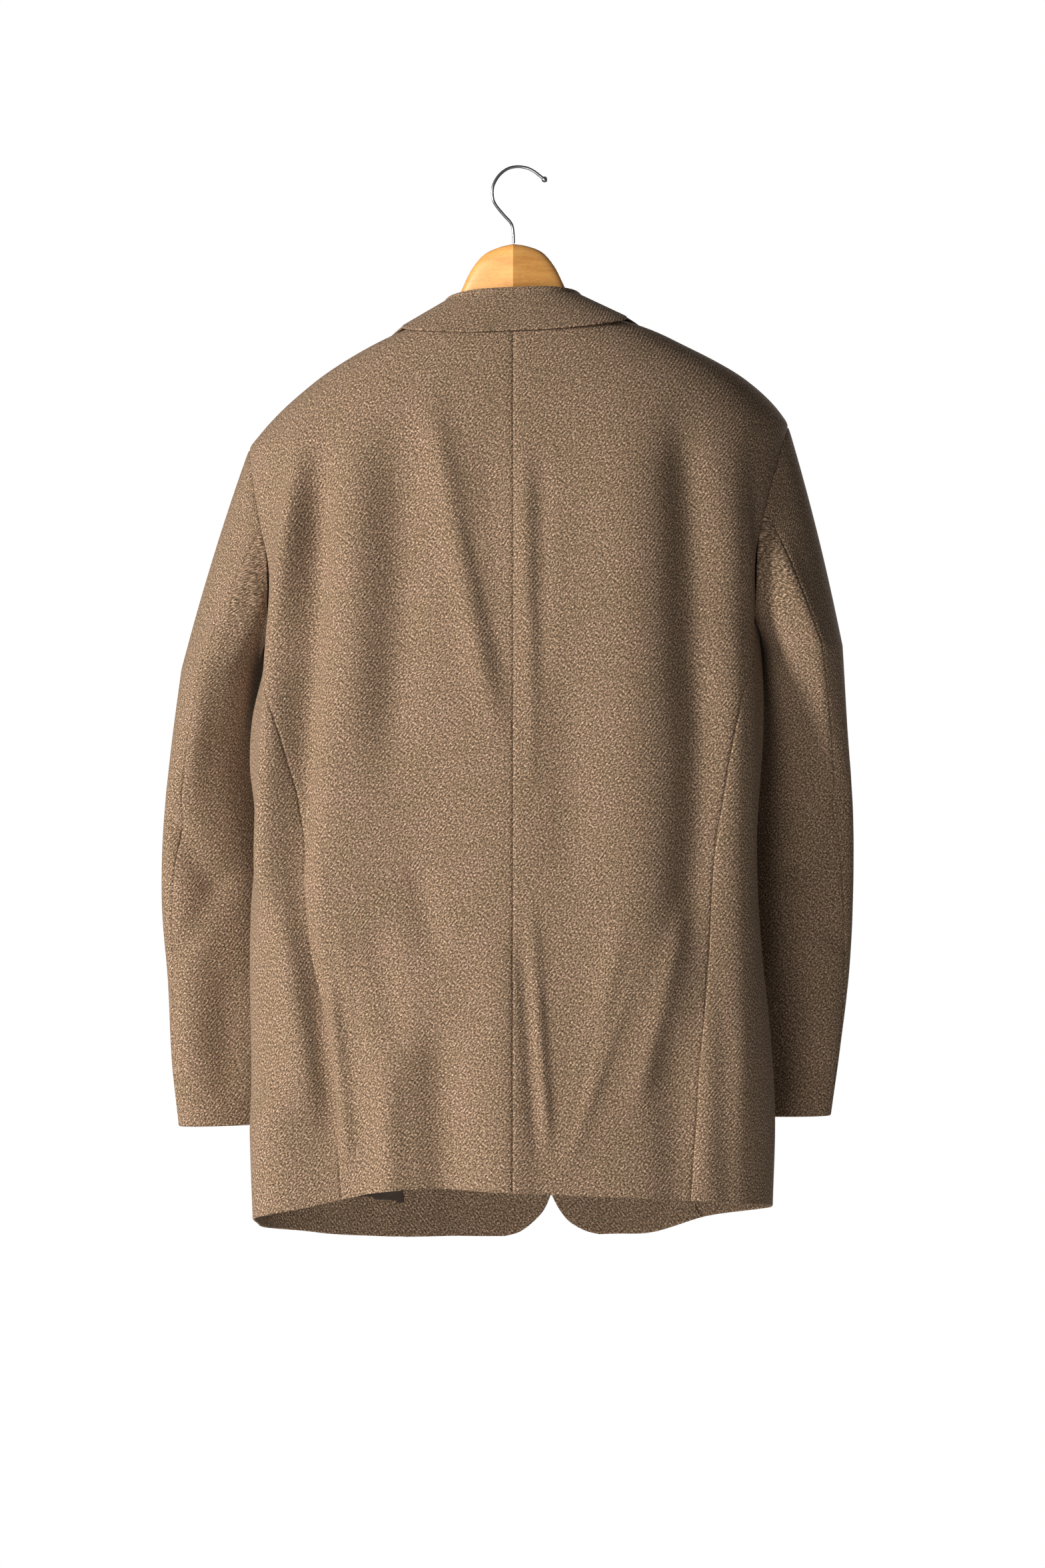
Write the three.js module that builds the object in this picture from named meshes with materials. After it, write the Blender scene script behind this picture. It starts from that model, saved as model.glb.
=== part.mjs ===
import * as THREE from "three";

// A man's tweed blazer hanging on a contoured wooden hanger, in millimetres.
// The cloth is cut as flat panels and sewn into one hollow: two backs, two side bodies, two fronts,
// a collar, two lapels, two front facings and two-piece sleeves. +Z is up, the wearer's front faces
// -Y and the wearer's left is +X. The garment is drawn about its own centre back line, and the
// whole group is then moved so that the inside top of the hook is the origin.

// ---- Driving sizes ----
const CLOTH = 2.0; // tweed, canvas and lining together
const FACING_CLOTH = 1.2; // one layer of tweed
const SEAM_GAP = 0.3; // room left at a seam between two pieces
const LAYER_GAP = 0.5; // room between two layers that lie on each other
const HOOK_TOP = { x: -3, y: 36, z: -5 }; // inside top of the hook in the garment's own frame

const NECK_HEIGHT = -138; // top ring, at the neck seam
const SHOULDER_TIP = -235; // where the shoulder seam meets the armhole
const UNDERARM = -405; // lowest point of the armhole
const HEM_HEIGHT = -890; // lower ring, at the centre back hem
const BACK_SQUARENESS = 2.6; // exponent of a ring's back half
const FRONT_SQUARENESS = 2.0; // exponent of a ring's front half

const TILT_TOP = 0.042; // the right shoulder hangs higher than the left by this slope
const TILT_HEM = 0.016;

const BREAK_HEIGHT = -545; // foot of the lapel's roll line
const RIGHT_LAPEL_FOOT = -498; // the right lapel comes out from under the left front here
const WRAP = 18; // how far each front passes the centre front
const NECK_ROLL_X = 70; // roll line's distance from the centre at the neck
const ROLL_TOP = -150;

const CUTAWAY_TOP = -842; // the fronts' rounded corners are drawn finely below this

const BACK_COLUMNS = 13; // columns of each panel's grid
const SIDE_COLUMNS = 5;
const FRONT_COLUMNS = 5;
const FACING_COLUMNS = 5;

const CUFF_HEIGHT = -839;
const SLEEVE_RING = -430; // first full ring of the sleeve, under the armhole
const FRONT_SLEEVE_SEAM = 245; // angle of the hidden sleeve seam from the outer fold

const BUTTON_RADIUS = 10.5;
const BUTTON_THICKNESS = 3.6; // at the rim
const BUTTON_WELL = 2.6; // inside the rim
const BUTTON_HEIGHTS = { button_upper: -562, button_lower: -665 };

const COLLAR_BEND = 2.6; // radius of the collar's fold
const COLLAR_LIFT = CLOTH + 2.5; // outer face of the fall over the panels
const STAND_END = 0.4; // shares of the way over the collar at which its fold begins and ends
const FALL_START = 0.6;

const LAPEL_LIFT = 1; // room under a lapel besides the layers' own
const LAPEL_ROLL = 1.5; // how far the roll passes the front's edge
const LAPEL_ROOM = 3; // from the left roll line to the right lapel that lies under it
const LAPEL_PUFF = 3; // how far a lapel's middle stands off the front
const LAPEL_PUFF_LENGTH = 60; // the puff grows over this height above the break

const OVERLAP_START = 80; // the right front dips under the left from this far off the centre
const OVERLAP_EASE = 55;
const FACING_LINE_SHARE = 0.35; // least share of a front between its side seam and the facing
const FOLD_REACH = 2.2; // how soon the folds fade towards the body's sides

const ARMHOLE_GAP = 0.9; // the armhole curves between its rows, so its pieces start a little further apart
const UNDERARM_ROOM = 5; // how far the sleeve's underside stands off the side body
const SLEEVE_HEAD = 5; // how far the sleeve's head stands out over the armhole
const SLEEVE_BACK_ROOM = 3; // how far the sleeve's back and front bulge below the armhole
const ARMHOLE_SHARE = 0.86; // share of half an armhole from the shoulder tip to the underarm
const ARMHOLE_OUT = 1.5; // extra room at the sleeve's outer and inner edge
const ARMHOLE_IN = 1.3;
const RIM_TURN = 120; // the sleeve's rim follows the panels' edges this far from its outer fold
const RIM_EASE = 60;

const HANGER_SWEEP = 0.27; // how fast the arms sweep to the front
const HANGER_SIDES = 16;
const HANGER_SQUARENESS = 3; // exponent of the arms' section
const WIRE_RADIUS = 1.3;
const HOOK_BALL_RADIUS = 2.6;
const HOOK_TIP_RADIUS = 0.5;
const HOOK_STEPS = 34;
const HOOK_SIDES = 8;

// ---- Finishes ----
function finish(color, roughness, metalness) {
  return new THREE.MeshStandardMaterial({ color, roughness, metalness });
}
const TWEED = finish(0x8c6f58, 0.95, 0);
const FACING_TWEED = finish(0x816955, 0.95, 0);
const BUTTON_HORN = finish(0x3b2a20, 0.45, 0);
const VARNISHED_WOOD = finish(0xe8b878, 0.35, 0);
const CHROME = finish(0xc8ccd0, 0.15, 1);

// ---- Tables ----
// Rings of the body: half widths to the wearer's left and right, and how far the back, the side
// fold and the front lie from the middle plane.
const BODY_ROWS = [
  { height: -138, left: 86, right: 86, back: 62, side: 14, front: -28 },
  { height: -142, left: 99, right: 102, back: 66, side: 11, front: -38 },
  { height: -151, left: 121, right: 126, back: 71, side: 5, front: -47 },
  { height: -163, left: 145, right: 150, back: 76, side: -1, front: -55 },
  { height: -176, left: 167, right: 175, back: 80, side: -7, front: -62 },
  { height: -189, left: 185, right: 197, back: 84, side: -12, front: -68 },
  { height: -201, left: 200, right: 213, back: 87, side: -17, front: -73 },
  { height: -214, left: 214, right: 227, back: 89, side: -21, front: -77 },
  { height: -226, left: 225, right: 237, back: 91, side: -24, front: -81 },
  { height: -235, left: 232, right: 242, back: 92, side: -25, front: -84 },
  { height: -260, left: 236, right: 241, back: 94, side: -21, front: -88 },
  { height: -300, left: 234, right: 234, back: 96, side: -12, front: -93 },
  { height: -340, left: 228, right: 228, back: 98, side: -3, front: -96 },
  { height: -380, left: 219, right: 218, back: 99, side: 4, front: -98 },
  { height: -405, left: 215, right: 214, back: 99, side: 7, front: -98 },
  { height: -430, left: 219, right: 217, back: 99, side: 9, front: -98 },
  { height: -470, left: 228, right: 219, back: 98, side: 12, front: -97 },
  { height: -510, left: 230, right: 218, back: 96, side: 14, front: -95 },
  { height: -545, left: 226, right: 215, back: 94, side: 15, front: -93 },
  { height: -583, left: 225, right: 212, back: 93, side: 15, front: -92 },
  { height: -630, left: 229, right: 213, back: 94, side: 15, front: -93 },
  { height: -680, left: 230, right: 217, back: 97, side: 14, front: -95 },
  { height: -750, left: 229, right: 225, back: 101, side: 13, front: -98 },
  { height: -815, left: 228, right: 229, back: 104, side: 12, front: -100 },
  { height: -890, left: 223, right: 227, back: 106, side: 12, front: -101 },
];

// Where the back and the front panels end: shares of the ring's half width. Above the underarm
// this is the armhole, and below it the side-back seam and the front seam of the side body.
const EDGE_ROWS = [
  { height: -235, back: 1.0, front: 1.0 },
  { height: -255, back: 0.974, front: 0.95 },
  { height: -282, back: 0.958, front: 0.9 },
  { height: -308, back: 0.945, front: 0.865 },
  { height: -338, back: 0.935, front: 0.855 },
  { height: -360, back: 0.945, front: 0.875 },
  { height: -386, back: 0.966, front: 0.93 },
  { height: -405, back: 0.972, front: 0.965 },
  { height: -434, back: 0.948, front: 0.955 },
  { height: -468, back: 0.885, front: 0.935 },
  { height: -510, back: 0.85, front: 0.92 },
  { height: -560, back: 0.835, front: 0.905 },
  { height: -620, back: 0.807, front: 0.9 },
  { height: -676, back: 0.778, front: 0.9 },
  { height: -729, back: 0.737, front: 0.9 },
  { height: -775, back: 0.705, front: 0.9 },
  { height: -840, back: 0.685, front: 0.9 },
  { height: -890, back: 0.678, front: 0.9 },
];

// How far the hem hangs under its height at the centre back, by the turn round the body.
const HEM_ROWS = [
  { turn: 0, left: 0, right: 0 },
  { turn: 19, left: 4, right: -5 },
  { turn: 28, left: 2, right: -7 },
  { turn: 39, left: -6, right: -11 },
  { turn: 50, left: -14, right: -15 },
  { turn: 90, left: -33, right: -24 },
  { turn: 122, left: -44, right: -34 },
  { turn: 133, left: -49, right: -40 },
  { turn: 146, left: -53, right: -53 },
  { turn: 156, left: -55, right: -55 },
  { turn: 180, left: -57, right: -57 },
];

// Rounded corners of the fronts: the edge's place across, by the height above the lower ring.
const CUTAWAY_ROWS = [
  { rise: 0, left: 8, right: -78 },
  { rise: 3, left: -5, right: -66 },
  { rise: 10, left: -17, right: -52 },
  { rise: 19, left: -27, right: -43 },
  { rise: 30, left: -33, right: -36 },
  { rise: 45, left: -38, right: -28 },
  { rise: 75, left: -43, right: -19 },
  { rise: 130, left: -49, right: -13 },
];

// Width of a facing from the front edge to its inner edge.
const FACING_ROWS = [
  { height: -138, width: 8 },
  { height: -235, width: 60 },
  { height: -545, width: 78 },
  { height: -760, width: 128 },
  { height: -840, width: 139 },
  { height: -860, width: 133 },
  { height: -880, width: 117 },
  { height: -887, width: 105 },
  { height: -890, width: 92 },
];

// Soft folds of the back, hung from the shoulder blades and caught by the sleeves. A row runs from
// its top to its low height through three places across; rise is out of the cloth, or in if below 0.
const BACK_FOLDS = [
  { top: -200, low: -680, xTop: 178, xMid: 211, xLow: 214, width: 10, rise: 14 },
  { top: -215, low: -690, xTop: 162, xMid: 181, xLow: 189, width: 13, rise: -12 },
  { top: -200, low: -520, xTop: 138, xMid: 132, xLow: 142, width: 20, rise: 6 },
  { top: -205, low: -560, xTop: 100, xMid: 90, xLow: 112, width: 20, rise: -6 },
  { top: -180, low: -520, xTop: 76, xMid: 48, xLow: 8, width: 12, rise: 6 },
  { top: -215, low: -520, xTop: 24, xMid: 16, xLow: 5, width: 18, rise: -3 },
  { top: -235, low: -560, xTop: -9, xMid: -12, xLow: -16, width: 6, rise: 2.5 },
  { top: -240, low: -480, xTop: -24, xMid: -27, xLow: -26, width: 7, rise: -2 },
  { top: -200, low: -800, xTop: 96, xMid: 84, xLow: 100, width: 58, rise: -9 },
  { top: -170, low: -820, xTop: -98, xMid: -110, xLow: -104, width: 40, rise: 9 },
  { top: -205, low: -520, xTop: -145, xMid: -153, xLow: -154, width: 17, rise: -7 },
  { top: -430, low: -700, xTop: -158, xMid: -162, xLow: -143, width: 17, rise: -6 },
  { top: -215, low: -920, xTop: -188, xMid: -196, xLow: -192, width: 20, rise: 9 },
  { top: -250, low: -560, xTop: -208, xMid: -214, xLow: -212, width: 6, rise: -3 },
  { top: -560, low: -840, xTop: 210, xMid: 192, xLow: 168, width: 13, rise: 6 },
  { top: -600, low: -860, xTop: 190, xMid: 174, xLow: 153, width: 10, rise: -9 },
  { top: -690, low: -880, xTop: 162, xMid: 153, xLow: 142, width: 8, rise: 7 },
  { top: -640, low: -1010, xTop: 160, xMid: 150, xLow: 142, width: 32, rise: -12 },
  { top: -760, low: -1000, xTop: 206, xMid: 208, xLow: 210, width: 22, rise: 13 },
  { top: -760, low: -990, xTop: 110, xMid: 107, xLow: 104, width: 13, rise: 6 },
  { top: -720, low: -990, xTop: 66, xMid: 60, xLow: 54, width: 20, rise: -9 },
  { top: -640, low: -1000, xTop: 14, xMid: 6, xLow: 4, width: 26, rise: 7 },
  { top: -650, low: -880, xTop: -5, xMid: -13, xLow: -22, width: 6, rise: -2 },
  { top: -620, low: -880, xTop: -14, xMid: -22, xLow: -32, width: 6, rise: 2.5 },
  { top: -640, low: -890, xTop: -92, xMid: -76, xLow: -38, width: 10, rise: 3 },
  { top: -620, low: -830, xTop: -152, xMid: -128, xLow: -102, width: 10, rise: 3.5 },
  { top: -730, low: -990, xTop: -138, xMid: -142, xLow: -146, width: 20, rise: -5 },
  { top: -600, low: -700, xTop: 84, xMid: 76, xLow: 66, width: 14, rise: -4 },
  { top: -650, low: -780, xTop: 122, xMid: 112, xLow: 96, width: 14, rise: -4 },
  { top: -420, low: -640, xTop: -40, xMid: -52, xLow: -48, width: 20, rise: -3 },
  { top: -700, low: -900, xTop: -168, xMid: -166, xLow: -164, width: 7, rise: 2.5 },
  { top: -720, low: -960, xTop: -182, xMid: -184, xLow: -186, width: 6, rise: -2 },
];

// The same kind of folds on the fronts, drawn towards the buttoned edge.
const FRONT_FOLDS = [
  { top: -230, low: -560, xTop: 178, xMid: 186, xLow: 160, width: 13, rise: -8 },
  { top: -300, low: -620, xTop: 150, xMid: 135, xLow: 95, width: 14, rise: 5 },
  { top: -560, low: -930, xTop: 60, xMid: 92, xLow: 118, width: 16, rise: -5 },
  { top: -600, low: -960, xTop: 30, xMid: 48, xLow: 60, width: 15, rise: 4 },
  { top: -640, low: -900, xTop: 165, xMid: 158, xLow: 150, width: 13, rise: -5 },
  { top: -235, low: -570, xTop: -180, xMid: -184, xLow: -155, width: 13, rise: -8 },
  { top: -320, low: -640, xTop: -148, xMid: -130, xLow: -92, width: 14, rise: 5 },
  { top: -580, low: -930, xTop: -70, xMid: -98, xLow: -122, width: 16, rise: -5 },
  { top: -650, low: -930, xTop: -160, xMid: -156, xLow: -148, width: 14, rise: -4 },
];

// Rings of the sleeves: the outer fold's distance from the centre, half the ring's width and
// depth, the turn that leads its inner end to the front, and where its middle lies.
const SLEEVE_ROWS = [
  { height: -430, left: 291, right: 289, wide: 37, deep: 66, lead: 12, middle: -14, elbow: 67 },
  { height: -500, left: 301, right: 294, wide: 42, deep: 60, lead: 32, middle: -42, elbow: 54 },
  { height: -570, left: 309, right: 300, wide: 52, deep: 52, lead: 40, middle: -58, elbow: 44 },
  { height: -640, left: 311, right: 301, wide: 58, deep: 47, lead: 40, middle: -64, elbow: 34 },
  { height: -710, left: 306, right: 298, wide: 59, deep: 44, lead: 39, middle: -67, elbow: 24 },
  { height: -780, left: 303, right: 290, wide: 57, deep: 41, lead: 38, middle: -68, elbow: 13 },
  { height: -839, left: 297, right: 282, wide: 55, deep: 39, lead: 37, middle: -68, elbow: 6 },
];

// Soft folds of the sleeves: place round the sleeve at the top and at the low end, in degrees
// from the outer fold towards the back.
const SLEEVE_FOLDS = [
  { top: -300, low: -560, aTop: 78, aLow: 62, width: 16, rise: 5 },
  { top: -340, low: -860, aTop: 108, aLow: 116, width: 26, rise: 9 },
  { top: -540, low: -640, aTop: 25, aLow: 85, width: 18, rise: -5 },
  { top: -600, low: -700, aTop: 95, aLow: 35, width: 16, rise: -5 },
  { top: -620, low: -800, aTop: 60, aLow: 50, width: 22, rise: 4 },
  { top: -690, low: -830, aTop: 88, aLow: 80, width: 15, rise: -4 },
  { top: -560, low: -690, aTop: 285, aLow: 320, width: 18, rise: -6 },
  { top: -380, low: -560, aTop: 300, aLow: 290, width: 20, rise: 5 },
];

// Width of a lapel outwards from its roll line, and the notch above its widest place.
const LAPEL_ROWS = [
  { height: -545, width: 5 },
  { height: -520, width: 15 },
  { height: -480, width: 31 },
  { height: -430, width: 47 },
  { height: -380, width: 60 },
  { height: -320, width: 72 },
  { height: -265, width: 81 },
  { height: -236, width: 83 },
  { height: -226, width: 66 },
  { height: -214, width: 44 },
  { height: -205, width: 33 },
  { height: -194, width: 20 },
  { height: -184, width: 8 },
];

// The hanger: its top and underside, from the middle to an arm's end.
const HANGER_ROWS = [
  { x: 0, top: -71, low: -121, half: 6.5 },
  { x: 12, top: -73, low: -123, half: 6.5 },
  { x: 26, top: -79, low: -128, half: 6.5 },
  { x: 37, top: -92, low: -134, half: 6.5 },
  { x: 46, top: -110, low: -141, half: 6.5 },
  { x: 54, top: -124, low: -149, half: 6.5 },
  { x: 66, top: -135, low: -157, half: 7 },
  { x: 85, top: -144, low: -170, half: 7 },
  { x: 105, top: -151, low: -181, half: 8 },
  { x: 125, top: -160, low: -191, half: 8 },
  { x: 148, top: -172, low: -203, half: 9 },
  { x: 171, top: -186, low: -216, half: 10 },
  { x: 191, top: -200, low: -228, half: 10 },
  { x: 206, top: -212, low: -238, half: 9 },
  { x: 215, top: -221, low: -240, half: 6 },
];

// Centre line of the hook's wire, from the hanger up and round to its end.
const HOOK_ROWS = [
  { x: -0.6, z: -70.3 },
  { x: -0.1, z: -59 },
  { x: 1.8, z: -52.8 },
  { x: 6.9, z: -47 },
  { x: 12.7, z: -40.2 },
  { x: 16.7, z: -33.8 },
  { x: 17.9, z: -26.3 },
  { x: 16.7, z: -18.8 },
  { x: 12.1, z: -11.2 },
  { x: 5.1, z: -5.7 },
  { x: -3, z: -3.7 },
  { x: -11.7, z: -4.7 },
  { x: -18.1, z: -7.7 },
  { x: -23.3, z: -11.6 },
  { x: -27.4, z: -14.8 },
];

// ---- Reading the tables ----
function clamp01(value) {
  return Math.min(1, Math.max(0, value));
}

function smooth(value) {
  const t = clamp01(value);
  return t * t * (3 - 2 * t);
}

function mix(a, b, t) {
  return a + (b - a) * t;
}

// Value of a column at a key, on a smooth curve through the rows that doesn't overshoot much.
function column(rows, keyName, valueName, key) {
  const rising = rows[rows.length - 1][keyName] > rows[0][keyName];
  const last = rows.length - 1;
  let i = 0;
  while (i < last - 1 && (rising ? key > rows[i + 1][keyName] : key < rows[i + 1][keyName])) {
    i += 1;
  }
  const at = (n) => rows[Math.min(last, Math.max(0, n))];
  const span = at(i + 1)[keyName] - at(i)[keyName];
  const t = clamp01((key - at(i)[keyName]) / span);
  const slope = (n) => {
    const before = at(n - 1);
    const after = at(n + 1);
    return ((after[valueName] - before[valueName]) / (after[keyName] - before[keyName])) * span;
  };
  const t2 = t * t;
  const t3 = t2 * t;
  return (
    at(i)[valueName] * (2 * t3 - 3 * t2 + 1) +
    slope(i) * (t3 - 2 * t2 + t) +
    at(i + 1)[valueName] * (3 * t2 - 2 * t3) +
    slope(i + 1) * (t3 - t2)
  );
}

function tiltAt(height) {
  return mix(TILT_TOP, TILT_HEM, smooth((SHOULDER_TIP - height) / (SHOULDER_TIP - HEM_HEIGHT)));
}

// Centre front: it drifts to the wearer's right towards the hem, because the coat hangs askew.
function centreFront(height) {
  return -6 - 0.04 * (NECK_HEIGHT - height);
}

// ---- Folds ----
function foldWindow(top, low, height) {
  const t = (top - height) / (top - low);
  return smooth(t / 0.25) * smooth((1 - t) / 0.25);
}

function foldRise(rows, x, height) {
  let rise = 0;
  for (const row of rows) {
    if (height < row.top && height > row.low) {
      const t = (row.top - height) / (row.top - row.low);
      const centre = mix(mix(row.xTop, row.xMid, t), mix(row.xMid, row.xLow, t), t);
      const away = (x - centre) / row.width;
      rise += row.rise * Math.exp(-away * away) * foldWindow(row.top, row.low, height);
    }
  }
  return rise;
}

// ---- The body's skin ----
// The turn runs from 0 at the centre back through 90 at the wearer's left side to 180 at the front,
// and is below 0 on the right. The height is the ring's own, before hem and tilt.
function bodyPoint(turn, height) {
  let angle = turn;
  if (angle > 180) {
    angle -= 360;
  }
  if (angle < -180) {
    angle += 360;
  }
  const side = angle < 0 ? -1 : 1;
  const away = Math.abs(angle);
  const isBack = away <= 90;
  const radians = (away * Math.PI) / 180;
  const power = isBack ? BACK_SQUARENESS : FRONT_SQUARENESS;
  const sine = Math.abs(Math.sin(radians));
  const cosine = Math.abs(Math.cos(radians));
  const reach = (sine ** power + cosine ** power) ** (-1 / power);
  const width = column(BODY_ROWS, "height", side > 0 ? "left" : "right", height);
  const middle = column(BODY_ROWS, "height", "side", height);
  const depth = column(BODY_ROWS, "height", isBack ? "back" : "front", height) - middle;
  let x = side * width * sine * reach;
  let y = middle + depth * cosine * reach;
  const rise = foldRise(isBack ? BACK_FOLDS : FRONT_FOLDS, x, height);
  const facing = smooth(cosine * reach * FOLD_REACH);
  const outX = side * (sine * reach) ** (power - 1) / width;
  const outY = (cosine * reach) ** (power - 1) / depth;
  const outLength = Math.hypot(outX, outY);
  x += (rise * facing * outX) / outLength;
  y += (rise * facing * outY) / outLength;
  const share = (NECK_HEIGHT - height) / (NECK_HEIGHT - HEM_HEIGHT);
  const drop = column(HEM_ROWS, "turn", side > 0 ? "left" : "right", away);
  return new THREE.Vector3(x, y, height + drop * share * share - tiltAt(height) * x);
}

// The skin with its outward direction, and moved out by a distance.
function bodySkin(turn, height, out = 0) {
  const stepTurn = 0.4;
  const stepHeight = 1.5;
  const top = Math.min(NECK_HEIGHT, height + stepHeight);
  const across = bodyPoint(turn + stepTurn, height).sub(bodyPoint(turn - stepTurn, height));
  const down = bodyPoint(turn, height - stepHeight).sub(bodyPoint(turn, top));
  const normal = across.cross(down).normalize();
  const point = bodyPoint(turn, height).addScaledVector(normal, out);
  return { point, normal };
}

// Turn at which a ring's half reaches a share of its width.
function turnAtShare(share, power) {
  if (share >= 1) {
    return 90;
  }
  const raised = Math.abs(share) ** power;
  return (Math.atan((raised / (1 - raised)) ** (1 / power)) * 180) / Math.PI;
}

function backEdgeTurn(height) {
  if (height >= SHOULDER_TIP) {
    return 90;
  }
  return turnAtShare(column(EDGE_ROWS, "height", "back", height), BACK_SQUARENESS);
}

function frontEdgeTurn(height) {
  if (height >= SHOULDER_TIP) {
    return 90;
  }
  return 180 - turnAtShare(column(EDGE_ROWS, "height", "front", height), FRONT_SQUARENESS);
}

// Turn of a place across the front, given as the distance x from the centre. The side tells from
// which half of the body the turn is counted, so a place past the middle has a turn over 180.
function frontTurnAtX(side, x, height) {
  const width = column(BODY_ROWS, "height", x > 0 ? "left" : "right", height);
  const fromMiddle = turnAtShare(Math.min(0.999, Math.abs(x) / width), FRONT_SQUARENESS);
  return side * x > 0 ? 180 - fromMiddle : 180 + fromMiddle;
}

// Half a seam's room, in degrees of turn.
function seamTurn(turn, height) {
  const step = bodyPoint(turn + 0.5, height).distanceTo(bodyPoint(turn - 0.5, height));
  return SEAM_GAP / 2 / Math.max(step, 0.5);
}

// ---- Walls ----
// A closed wall of cloth over a grid of skin points, its outer face on the skin.
function wall(name, material, rows, columns, thickness, skinAt) {
  const outer = [];
  const inner = [];
  for (const row of rows) {
    for (const across of columns) {
      const { point, normal } = skinAt(across, row);
      outer.push(point);
      inner.push(point.clone().addScaledVector(normal, -thickness));
    }
  }
  const wide = columns.length;
  const high = rows.length;
  const faces = [];
  const at = (layer, i, j) => layer * wide * high + i * wide + j;
  const quad = (a, b, c, d) => faces.push(a, b, c, a, c, d);
  for (let i = 0; i < high - 1; i += 1) {
    for (let j = 0; j < wide - 1; j += 1) {
      quad(at(0, i, j), at(0, i + 1, j), at(0, i + 1, j + 1), at(0, i, j + 1));
      quad(at(1, i, j), at(1, i, j + 1), at(1, i + 1, j + 1), at(1, i + 1, j));
    }
  }
  for (let j = 0; j < wide - 1; j += 1) {
    quad(at(0, 0, j), at(0, 0, j + 1), at(1, 0, j + 1), at(1, 0, j));
    quad(at(0, high - 1, j + 1), at(0, high - 1, j), at(1, high - 1, j), at(1, high - 1, j + 1));
  }
  for (let i = 0; i < high - 1; i += 1) {
    quad(at(0, i + 1, 0), at(0, i, 0), at(1, i, 0), at(1, i + 1, 0));
    quad(at(0, i + 1, wide - 1), at(1, i + 1, wide - 1), at(1, i, wide - 1), at(0, i, wide - 1));
  }
  return closedMesh(name, material, outer.concat(inner), faces);
}

// A mesh from points and faces, turned so that its faces point out.
function closedMesh(name, material, points, faces) {
  let volume = 0;
  for (let i = 0; i < faces.length; i += 3) {
    const [a, b, c] = [points[faces[i]], points[faces[i + 1]], points[faces[i + 2]]];
    volume += a.dot(b.clone().cross(c));
  }
  const index = volume > 0 ? faces : faces.slice().reverse();
  const geometry = new THREE.BufferGeometry();
  const places = points.flatMap((point) => point.toArray());
  geometry.setAttribute("position", new THREE.Float32BufferAttribute(places, 3));
  geometry.setIndex(index);
  geometry.computeVertexNormals();
  const mesh = new THREE.Mesh(geometry, material);
  mesh.name = name;
  return mesh;
}

// A solid through rings of equal point count, closed by a fan at each end.
function loft(name, material, rings) {
  const count = rings[0].length;
  const points = rings.flat();
  const faces = [];
  for (let i = 0; i < rings.length - 1; i += 1) {
    for (let j = 0; j < count; j += 1) {
      const next = (j + 1) % count;
      const a = i * count + j;
      const b = i * count + next;
      faces.push(a, b, b + count, a, b + count, a + count);
    }
  }
  const middleOf = (ring) => {
    const sum = new THREE.Vector3();
    ring.forEach((point) => sum.add(point));
    return sum.divideScalar(count);
  };
  const first = points.push(middleOf(rings[0])) - 1;
  const last = points.push(middleOf(rings[rings.length - 1])) - 1;
  const lastRing = (rings.length - 1) * count;
  for (let j = 0; j < count; j += 1) {
    const next = (j + 1) % count;
    faces.push(first, next, j);
    faces.push(last, lastRing + j, lastRing + next);
  }
  return closedMesh(name, material, points, faces);
}

function steps(from, to, count) {
  return Array.from({ length: count + 1 }, (_, i) => mix(from, to, i / count));
}

// ---- Body panels ----
// All the panels share their rows, so that their edges match along every seam. The last rows lie
// close together, for the rounded corners of the fronts.
const SHOULDER_ROWS = steps(NECK_HEIGHT, SHOULDER_TIP, 8);
const ARMHOLE_ROWS = steps(SHOULDER_TIP, UNDERARM, 11);
const LOWER_ROWS = steps(UNDERARM, BREAK_HEIGHT, 6)
  .concat(steps(BREAK_HEIGHT, CUTAWAY_TOP, 10).slice(1))
  .concat([-862, -873, -881, -887, HEM_HEIGHT]);
const PANEL_ROWS = SHOULDER_ROWS.concat(ARMHOLE_ROWS.slice(1), LOWER_ROWS.slice(1));

function backPanel(name, side) {
  return wall(name, TWEED, PANEL_ROWS, steps(0, 1, BACK_COLUMNS), CLOTH, (across, height) => {
    const edge = backEdgeTurn(height);
    const turn = mix(seamTurn(0, height), edge - seamTurn(edge, height), across);
    return bodySkin(side * turn, height);
  });
}

function sidePanel(name, side) {
  return wall(name, TWEED, LOWER_ROWS, steps(0, 1, SIDE_COLUMNS), CLOTH, (across, height) => {
    const start = backEdgeTurn(height);
    const end = frontEdgeTurn(height);
    const turn = mix(start + seamTurn(start, height), end - seamTurn(end, height), across);
    return bodySkin(side * turn, height);
  });
}

function rollLineX(side, height) {
  const foot = centreFront(BREAK_HEIGHT) - side * WRAP;
  const t = clamp01((ROLL_TOP - height) / (ROLL_TOP - BREAK_HEIGHT));
  return mix(side * NECK_ROLL_X, foot, t);
}

function frontEdgeX(side, height) {
  if (height > BREAK_HEIGHT) {
    return rollLineX(side, height);
  }
  const rise = height - HEM_HEIGHT;
  const tableTop = CUTAWAY_ROWS[CUTAWAY_ROWS.length - 1].rise;
  if (rise < tableTop) {
    return column(CUTAWAY_ROWS, "rise", side > 0 ? "left" : "right", rise);
  }
  return centreFront(height) - side * WRAP;
}

// The right front passes under the left one, so it lies deeper near the overlap.
function overlapInset(side, x, height) {
  if (side > 0) {
    return 0;
  }
  const depth = CLOTH + FACING_CLOTH + 3 * LAYER_GAP;
  return depth * smooth((x - (centreFront(height) - OVERLAP_START)) / OVERLAP_EASE);
}

function frontSkin(side, x, height, out = 0) {
  const turn = frontTurnAtX(side, x, height);
  return bodySkin(side * turn, height, out - overlapInset(side, x, height));
}

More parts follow.
